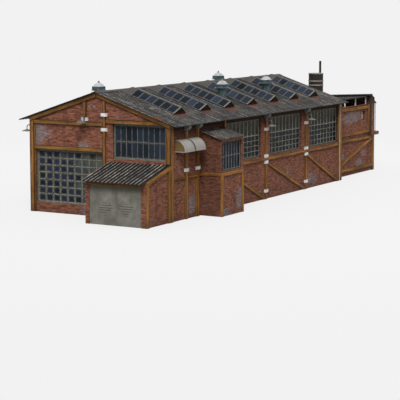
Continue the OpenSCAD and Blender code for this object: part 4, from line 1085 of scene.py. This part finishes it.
LONG_X = [WINDOW_FIRST + i * WINDOW_PITCH + WINDOW_W / 2 for i in range(WINDOW_COUNT)]
LOW_GLASS = make_glass("long_low_glass", 9, 4, (1.0, 1.6), (21, 24, 33), 0.14)
TOP_GLASS = make_glass("long_top_glass", 9, 1, (-0.2, 1.1), (24, 25, 25), 0.1, (86, 86, 78))
LARGE_GLASS = make_glass(
    "large_gable_glass", 9, 7, (0.95, 1.25), (33, 37, 52), 0.24, (86, 88, 80), side_dirt=(0.55, 0.9),
)
UPPER_GLASS = make_glass("upper_gable_glass", 9, 2, (1.0, 1.5), (36, 42, 52), 0.12)
BAY_GLASS = make_glass("bay_glass", 7, 2, (1.0, 1.5), (19, 23, 31), 0.08)
ANNEX_GLASS = make_glass("annex_glass", 1, 1, (-0.9, -0.5), (33, 37, 52), 0.2, (176, 175, 166))
# Middles, clear width and height, columns, rows, side, width of the bars, and glass
WINDOWS = {}
for side, y in (("near", GLASS_IN), ("far", HALL_W - GLASS_IN)):
    lows, tops = [(x, y, 3.475) for x in LONG_X], [(x, y, 4.625) for x in LONG_X]
    WINDOWS[side + "_long_low"] = (lows, 4.4, 1.31, 9, 4, side, 0.052, LOW_GLASS)
    WINDOWS[side + "_long_top"] = (tops, 4.4, 0.99, 9, 1, side, 0.056, TOP_GLASS)
WINDOWS["large_gable"] = ([(GLASS_IN, 6.92, 2.175)], 4.66, 3.03, 9, 7, "front", 0.055, LARGE_GLASS)
WINDOWS["upper_gable"] = ([(GLASS_IN, 2.075, 4.46)], 3.39, 1.86, 9, 2, "front", 0.03, UPPER_GLASS)
WINDOWS["bay"] = ([(4.695, GLASS_IN - BAY_OUT, 3.5)], 2.29, 1.56, 7, 2, "near", 0.028, BAY_GLASS)
WINDOWS["annex"] = ([(28.285, ANNEX_Y + GLASS_IN, 4.15)], 0.49, 0.52, 1, 1, "near", 0.04, ANNEX_GLASS)

panes = []
for label, (middles, width, height, columns, rows, side, bar, glass) in WINDOWS.items():
    places = [facing(site(*middle), side) for middle in middles]
    grid = pane_grid(columns, rows, width, height, glass)
    panes.append(repeat(grid, places, label + "_panes"))
    grid = bar_grid(columns, rows, width, height, bar, BAR_DEPTH)
    # One-row windows take the bars lightened as painted light
    finish = {1: LIT_TOP_BARS, 2: PALE_BARS}.get(rows, BARS)
    dress(repeat(grid, places, label + "_window_bars"), "window_steel", finish)
window_panes = dress(joined(panes, "window_panes"), "glass")
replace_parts(window_panes, "window_glass")


# Skylights: six panes on each side, bars across them, and flashing strips along their edges

SKY_COLUMNS, SKY_BAR, SKY_BAR_DEPTH, PANE_SEAT = 6, 0.036, 0.03, -0.008
SKY_GLASS = make_glass(
    "skylight_glass", SKY_COLUMNS, 1, (1.0, 1.9), (31, 37, 47), 0.14, (60, 61, 62), (0.5, 1.4),
)
STRIP_W, STRIP_T, STRIP_SEAT, FOOT_DOWN, FOOT_LONGER = 0.09, 0.03, 0.012, 0.02, 0.06
SKY_FALL = math.atan2(SKY_H - CURB_H, SKY_HALF)
SKY_PANE = math.hypot(SKY_HALF - CURB_T / 2, SKY_H - CURB_H)
SKY_RUN = SKY_FOOT - SKY_TOP


def skylight_side(mirrored, out, down=(SKY_TOP + SKY_FOOT) / 2):
    """Place on the middle of one side of a skylight, in the slope's frame, X running up the slope."""
    flip = Matrix.Scale(-1, 4, (1, 0, 0)) if mirrored else Matrix.Identity(4)
    half = (SKY_HALF + CURB_T / 2) / 2
    middle = Vector((half, -down, SKY_H - half * math.tan(SKY_FALL) + out))
    return flip @ move(middle) @ turn(SKY_FALL, "Y") @ turn(math.pi / 2, "Z")


sky_places = [on_slope(SKY_FIRST + i * SKY_PITCH, False) for i in range(SKY_COUNT)]
sky_sides = [(place, side) for place in sky_places for side in (False, True)]
sky_panes = pane_grid(SKY_COLUMNS, 1, SKY_RUN, SKY_PANE, SKY_GLASS)
places = [place @ skylight_side(side, PANE_SEAT) for place, side in sky_sides]
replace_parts(dress(repeat(sky_panes, places, "skylight_panes"), "glass"), "skylight_glass")
sky_bars = bar_grid(SKY_COLUMNS, 1, SKY_RUN, SKY_PANE, SKY_BAR, SKY_BAR_DEPTH)
places = [place @ skylight_side(side, 0.0) for place, side in sky_sides]
dress(repeat(sky_bars, places, "skylight_bars"), "window_steel", SKY_BARS)
ACROSS_PANE = turn(math.pi / 2, "Z")
foot = SKY_FOOT + FOOT_DOWN
places = [place @ skylight_side(side, STRIP_SEAT, foot) @ ACROSS_PANE for place, side in sky_sides]
foot_strip = strip(SKY_PANE + FOOT_LONGER, STRIP_W, STRIP_T)
dress(repeat(foot_strip, places, "skylight_foot_strips"), "roof_sheet", SKY_BARS)
top = move((0, -(SKY_TOP + UPPER_LEN) / 2, SKY_H + SLIGHT)) @ ACROSS_PANE
ridge_strip = strip(UPPER_LEN - SKY_TOP, STRIP_W, STRIP_T)
ridge_strips = repeat(ridge_strip, [place @ top for place in sky_places], "skylight_ridge_strips")
dress(ridge_strips, "roof_sheet", SKY_BARS)


# Fixings: bolts on the bands, hook bolts on the sheets and anchor plates on the gable

BOLT_ACROSS, BOLT_UP, ANCHOR_Y, ANCHOR_Z = 0.15, 0.055, (5.12, 5.48), 6.4
# Lines of hook bolts: how far down the slope, and how many waves apart
HOOK_LINES = ((PURLIN_STEP, 2), (2 * PURLIN_STEP, 2), (UPPER_LEN - 0.08, 1), (SLOPE_LEN - 0.12, 2))
LEAN_HOOKS, HOOK_CLEAR = (0.25, 1.5, 2.6), 0.05


def bolt_places(x, z, side):
    """Four bolts on a band, two on each side of its post."""
    out = -TIMBER_T - BAND_T
    sideways, upwards = (-BOLT_ACROSS, BOLT_ACROSS), (-BOLT_UP, BOLT_UP)
    spots = [(x + dx, out, z + dz) for dx in sideways for dz in upwards]
    if side == "front":
        spots = [(y, along, up) for along, y, up in spots]
    return [facing(site(*spot), side) for spot in spots]


bolts = [place for x in PIER_POSTS for z in PIER_BANDS for place in bolt_places(x, z, "near")]
bolts += [place for x in FRONT_POSTS for place in bolt_places(x, FRONT_BAND, "near")]
bolts += [place for z in GABLE_BANDS for place in bolt_places(MIDDLE_POST, z, "front")]
bolts += bolt_places(QUEEN_POST, QUEEN_BAND, "front")
dress(repeat(turned(BOLT, SIX_SIDES), bolts, "band_bolts"), "grey_steel", GREY)

hooks = []
for far in (False, True):
    for line, step in HOOK_LINES:
        for i in range(0, HALL_WAVES, step):
            x = (i + CREST_AT) * HALL_PITCH - VERGE_OVER
            beside = abs((x - SKY_FIRST + SKY_PITCH / 2) % SKY_PITCH - SKY_PITCH / 2)
            in_row = SKY_FIRST - 1 < x < SKY_FIRST + SKY_PITCH * SKY_COUNT
            on_glass = in_row and beside < SKY_HALF + HOOK_CLEAR
            if far or line > UPPER_LEN or not on_glass:
                hooks.append(on_slope(x, far) @ move((0, -line, SHEET_DEPTH)))
for i in range(LEAN_WAVES):
    y = LEAN_W - (i + CREST_AT) * LEAN_PITCH
    swing = move(site(0, y, LEAN_UNDER)) @ turn(-LEAN_A, "Y")
    hooks += [swing @ move((-down, 0, SHEET_DEPTH)) for down in LEAN_HOOKS]
dress(repeat(turned(HOOK, SIX_SIDES), hooks, "roof_hook_bolts"), "roof_sheet", GREY)

anchors = [facing(site(0, y, ANCHOR_Z), "front") for y in ANCHOR_Y]
dress(repeat(turned(ANCHOR, ROUND), anchors, "gable_anchor_plates"), "grey_steel", GREY)


# Rain pipe at the corner of the hall and the annex: a turned pipe with sockets


def rain_pipe():
    """Pipe drawn up through its sockets to a hopper below the eaves."""
    sections = [(PIPE_R, PIPE_FOOT)]
    for joint in SOCKETS:
        low, high = joint + SOCKET_STEP, joint + SOCKET_H
        sections += [(PIPE_R, joint), (SOCKET_R, low), (SOCKET_R, high), (PIPE_R, high + SOCKET_STEP)]
    return turned([*sections, (PIPE_R, PIPE_TOP), *HOPPER], ROUND)


PIPE_PAINT = make_paint("pipe_paint", (168, 157, 150), (128, 114, 106), (0.56, 0.72), 0.55, 0.3)
pipe = repeat(rain_pipe(), [move(site(*PIPE))], "rain_pipe")
dress(pipe, "white_steel", PIPE_PAINT)


# Ventilators: flashings on the slope, ribs round the drum and a knob on the dome

vents = [(SKY_FIRST + (i + 0.5) * SKY_PITCH, False) for i in NEAR_VENTS]
vents += [(SKY_FIRST + (i + 0.5) * SKY_PITCH, True) for i in FAR_VENTS]
VENT_FOOT = RIDGE_Z - VENT_DOWN * math.tan(ROOF_A)
FLASH_STRETCH, RIB_COUNT, RIB_W, RIB_RISE, RIB_SHORT = 1.06, 20, 0.03, 0.02, 0.06


def vent_axis(x, far, rise):
    """Place on a ventilator's upright axis, above its foot on the sheets."""
    side = VENT_DOWN if far else -VENT_DOWN
    return move(site(x, RIDGE_Y + side, VENT_FOOT + rise))


flashing = turned(FLASHING, SMOOTH)
flashing.data.transform(Matrix.Scale(FLASH_STRETCH, 4, (0, 1, 0)))
places = [vent_axis(x, far, 0.0) @ turn(-ROOF_A if far else ROOF_A, "X") for x, far in vents]
dress(repeat(flashing, places, "ventilator_flashings"), "roof_sheet", FLAT_SHEET)
places = []
for x, far in vents:
    for i in range(RIB_COUNT):
        spin = turn(i * math.tau / RIB_COUNT, "Z") @ move((VENT_DRUM_R + SLIGHT, 0, 0))
        places.append(vent_axis(x, far, VENT_NECK + VENT_DRUM_H / 2 + RIB_RISE) @ spin)
rib = strip(RIB_W, RIB_W, VENT_DRUM_H - RIB_SHORT)
dress(repeat(rib, places, "ventilator_ribs"), "vent_metal", VENT)
places = [vent_axis(x, far, VENT_NECK + VENT_DRUM_H + VENT_CAP_H) for x, far in vents]
dress(repeat(turned(KNOB, ROUND), places, "ventilator_knobs"), "vent_metal", GREY)


# Awnings: a rim round each end and a lip along the lower edges

RIM_W, RIM_T, LIP = 0.05, 0.03, 0.02


def awning_rim():
    """Rim of an awning's end: a strip along a quarter ellipse."""
    select_none()
    bpy.ops.mesh.primitive_circle_add(vertices=FINE, radius=1, rotation=(0, math.pi / 2, 0))
    bpy.context.object.scale = (AWNING_H, AWNING_OUT, 1)
    rim = settle()
    editing(True)
    bpy.ops.mesh.select_mode(type="EDGE")
    bpy.ops.mesh.select_all(action="SELECT")
    bpy.ops.mesh.bisect(plane_co=(0, 0, 0), plane_no=(0, 0, -1), clear_outer=True)
    bpy.ops.mesh.select_all(action="SELECT")
    bpy.ops.mesh.bisect(plane_co=(0, -SLIGHT / 2, 0), plane_no=(0, 1, 0), clear_outer=True)
    bpy.ops.mesh.select_all(action="SELECT")
    bpy.ops.mesh.extrude_region_move(TRANSFORM_OT_translate={"value": (RIM_W, 0, 0)})
    bpy.ops.mesh.select_all(action="SELECT")
    bpy.ops.mesh.normals_make_consistent(inside=False)
    editing(False)
    apply("SOLIDIFY", thickness=RIM_T, offset=0.0)
    return rim


places = [move(site(x + dx, 0, AWNING_Z)) for x in AWNINGS for dx in (-LIP, AWNING_W + LIP - RIM_W)]
pieces = [repeat(awning_rim(), places, "awning_rims")]
for x in AWNINGS:
    low = (x - LIP, -AWNING_OUT - LIP, AWNING_Z - RIM_T)
    pieces.append(block(low, (x + AWNING_W + LIP, -AWNING_OUT + LIP, AWNING_Z + RIM_T)))
    for end in (x - LIP, x + AWNING_W + LIP - RIM_T):
        low = (end, -AWNING_OUT + LIP, AWNING_Z - RIM_T)
        pieces.append(block(low, (end + RIM_T, 0, AWNING_Z + LIP)))
CREAM = make_paint("awning_trim", (148, 145, 139), (120, 108, 90), (0.58, 0.74), 0.7, 0.2, gloss=0.25)
dress(joined(pieces, "awning_rims"), "awning_sheet", CREAM)


# Lamps: a bulb under each shade

LAMP_DROP = 0.22
lamps = [(x, -0.435, 4.88) for x in PIER_POSTS] + [(-0.455, QUEEN_POST, 5.72), (0.13, 10.075, 5.0)]
places = [move(site(x, y, z - LAMP_DROP)) for x, y, z in lamps]
dress(repeat(turned(LAMP_BULB, ROUND), places, "lamp_bulbs"), "lamp_metal", BULB)


# Stage: camera, light and a plain floor

BACKDROP, PURE_WHITE = rgb(242, 242, 242), rgb(255, 255, 255)
# Camera solved from corners of the picture: sensor and lens in mm, shifts, place, tilt and heading
SENSOR, LENS, SHIFT, CAMERA_AT = 36.0, 131.04, (-0.0285, -0.06825), (-69.63, -42.57, 12.51)
CAMERA_TILT, CAMERA_HEADING, VIEW_END = math.radians(90 - 6.74), math.radians(-60.2), 3000.0
SUN_POWER, SUN_ANGLE, SUN_WAY = 2.7, math.radians(25), Vector((0.78, 0.42, -1.0))
FLOOR_R, FLOOR_DOWN, FLOOR_LIT, FLOOR_TONE = 420, (0, 0, -SLIGHT), (0.66, 0.66, 0.66, 1), (0.3, 0.3, 0.3, 1)


def set_camera():
    """Camera of the picture's upper view."""
    data = bpy.data.cameras.new("camera")
    data.sensor_width, data.lens, data.clip_end = SENSOR, LENS, VIEW_END
    data.shift_x, data.shift_y = SHIFT
    camera = bpy.data.objects.new("camera", data)
    camera.location = site(*CAMERA_AT)
    camera.rotation_euler = (CAMERA_TILT, 0, CAMERA_HEADING)
    bpy.context.scene.collection.objects.link(camera)
    bpy.context.scene.camera = camera


def seen_rays():
    """1 for rays that show the background: straight, mirrored or through glass."""
    rays = put("ShaderNodeLightPath").outputs
    seen = calc("MAXIMUM", rays["Is Camera Ray"], rays["Is Glossy Ray"])
    return calc("MAXIMUM", seen, rays["Is Transmission Ray"])


def set_world():
    """Soft light, stronger from above, behind a plain backdrop."""
    world = bpy.data.worlds.new("studio")
    open_tree(world)
    height = parts_of(put("ShaderNodeTexCoord").outputs["Generated"])[2]
    light = between(height, -0.1, 0.9, 0.3, 1.0)
    sky = put("ShaderNodeBackground", {"Color": PURE_WHITE, "Strength": light})
    back = put("ShaderNodeBackground", {"Color": BACKDROP, "Strength": 1.0})
    mixed = put("ShaderNodeMixShader", {0: seen_rays(), 1: sky.outputs[0], 2: back.outputs[0]})
    put("ShaderNodeOutputWorld", {0: mixed.outputs[0]})
    bpy.context.scene.world = world


def set_sun():
    """Broad sun from the front and above."""
    data = bpy.data.lights.new("soft_sun", "SUN")
    data.energy, data.angle = SUN_POWER, SUN_ANGLE
    sun = bpy.data.objects.new("soft_sun", data)
    sun.rotation_euler = SUN_WAY.to_track_quat("-Z", "Y").to_euler()
    bpy.context.scene.collection.objects.link(sun)


def set_floor():
    """Pale floor, which keeps a faint shadow round the building."""
    select_none()
    bpy.ops.mesh.primitive_circle_add(vertices=FINE, radius=FLOOR_R, fill_type="NGON", location=FLOOR_DOWN)
    floor = settle()
    floor.name = "floor"
    new_material("pale_floor")
    pale = put("ShaderNodeEmission", {"Color": BACKDROP, "Strength": 1.0})
    matt = put("ShaderNodeBsdfDiffuse", {"Color": FLOOR_LIT})
    ground = put("ShaderNodeBsdfDiffuse", {"Color": FLOOR_TONE})
    x, y, _ = parts_of(place_of())
    reach = calc("SQRT", plus(times(x, x), times(y, y)))
    lit = between(reach, 20.0, 50.0, 0.85, 1.0)
    shown = put("ShaderNodeMixShader", {0: lit, 1: matt.outputs[0], 2: pale.outputs[0]})
    mixed = put("ShaderNodeMixShader", {0: seen_rays(), 1: ground.outputs[0], 2: shown.outputs[0]})
    put("ShaderNodeOutputMaterial", {"Surface": mixed.outputs[0]})
    floor.data.materials.append(Wiring.material)


set_camera()
set_world()
set_sun()
set_floor()
bpy.context.scene.view_settings.view_transform = "Standard"
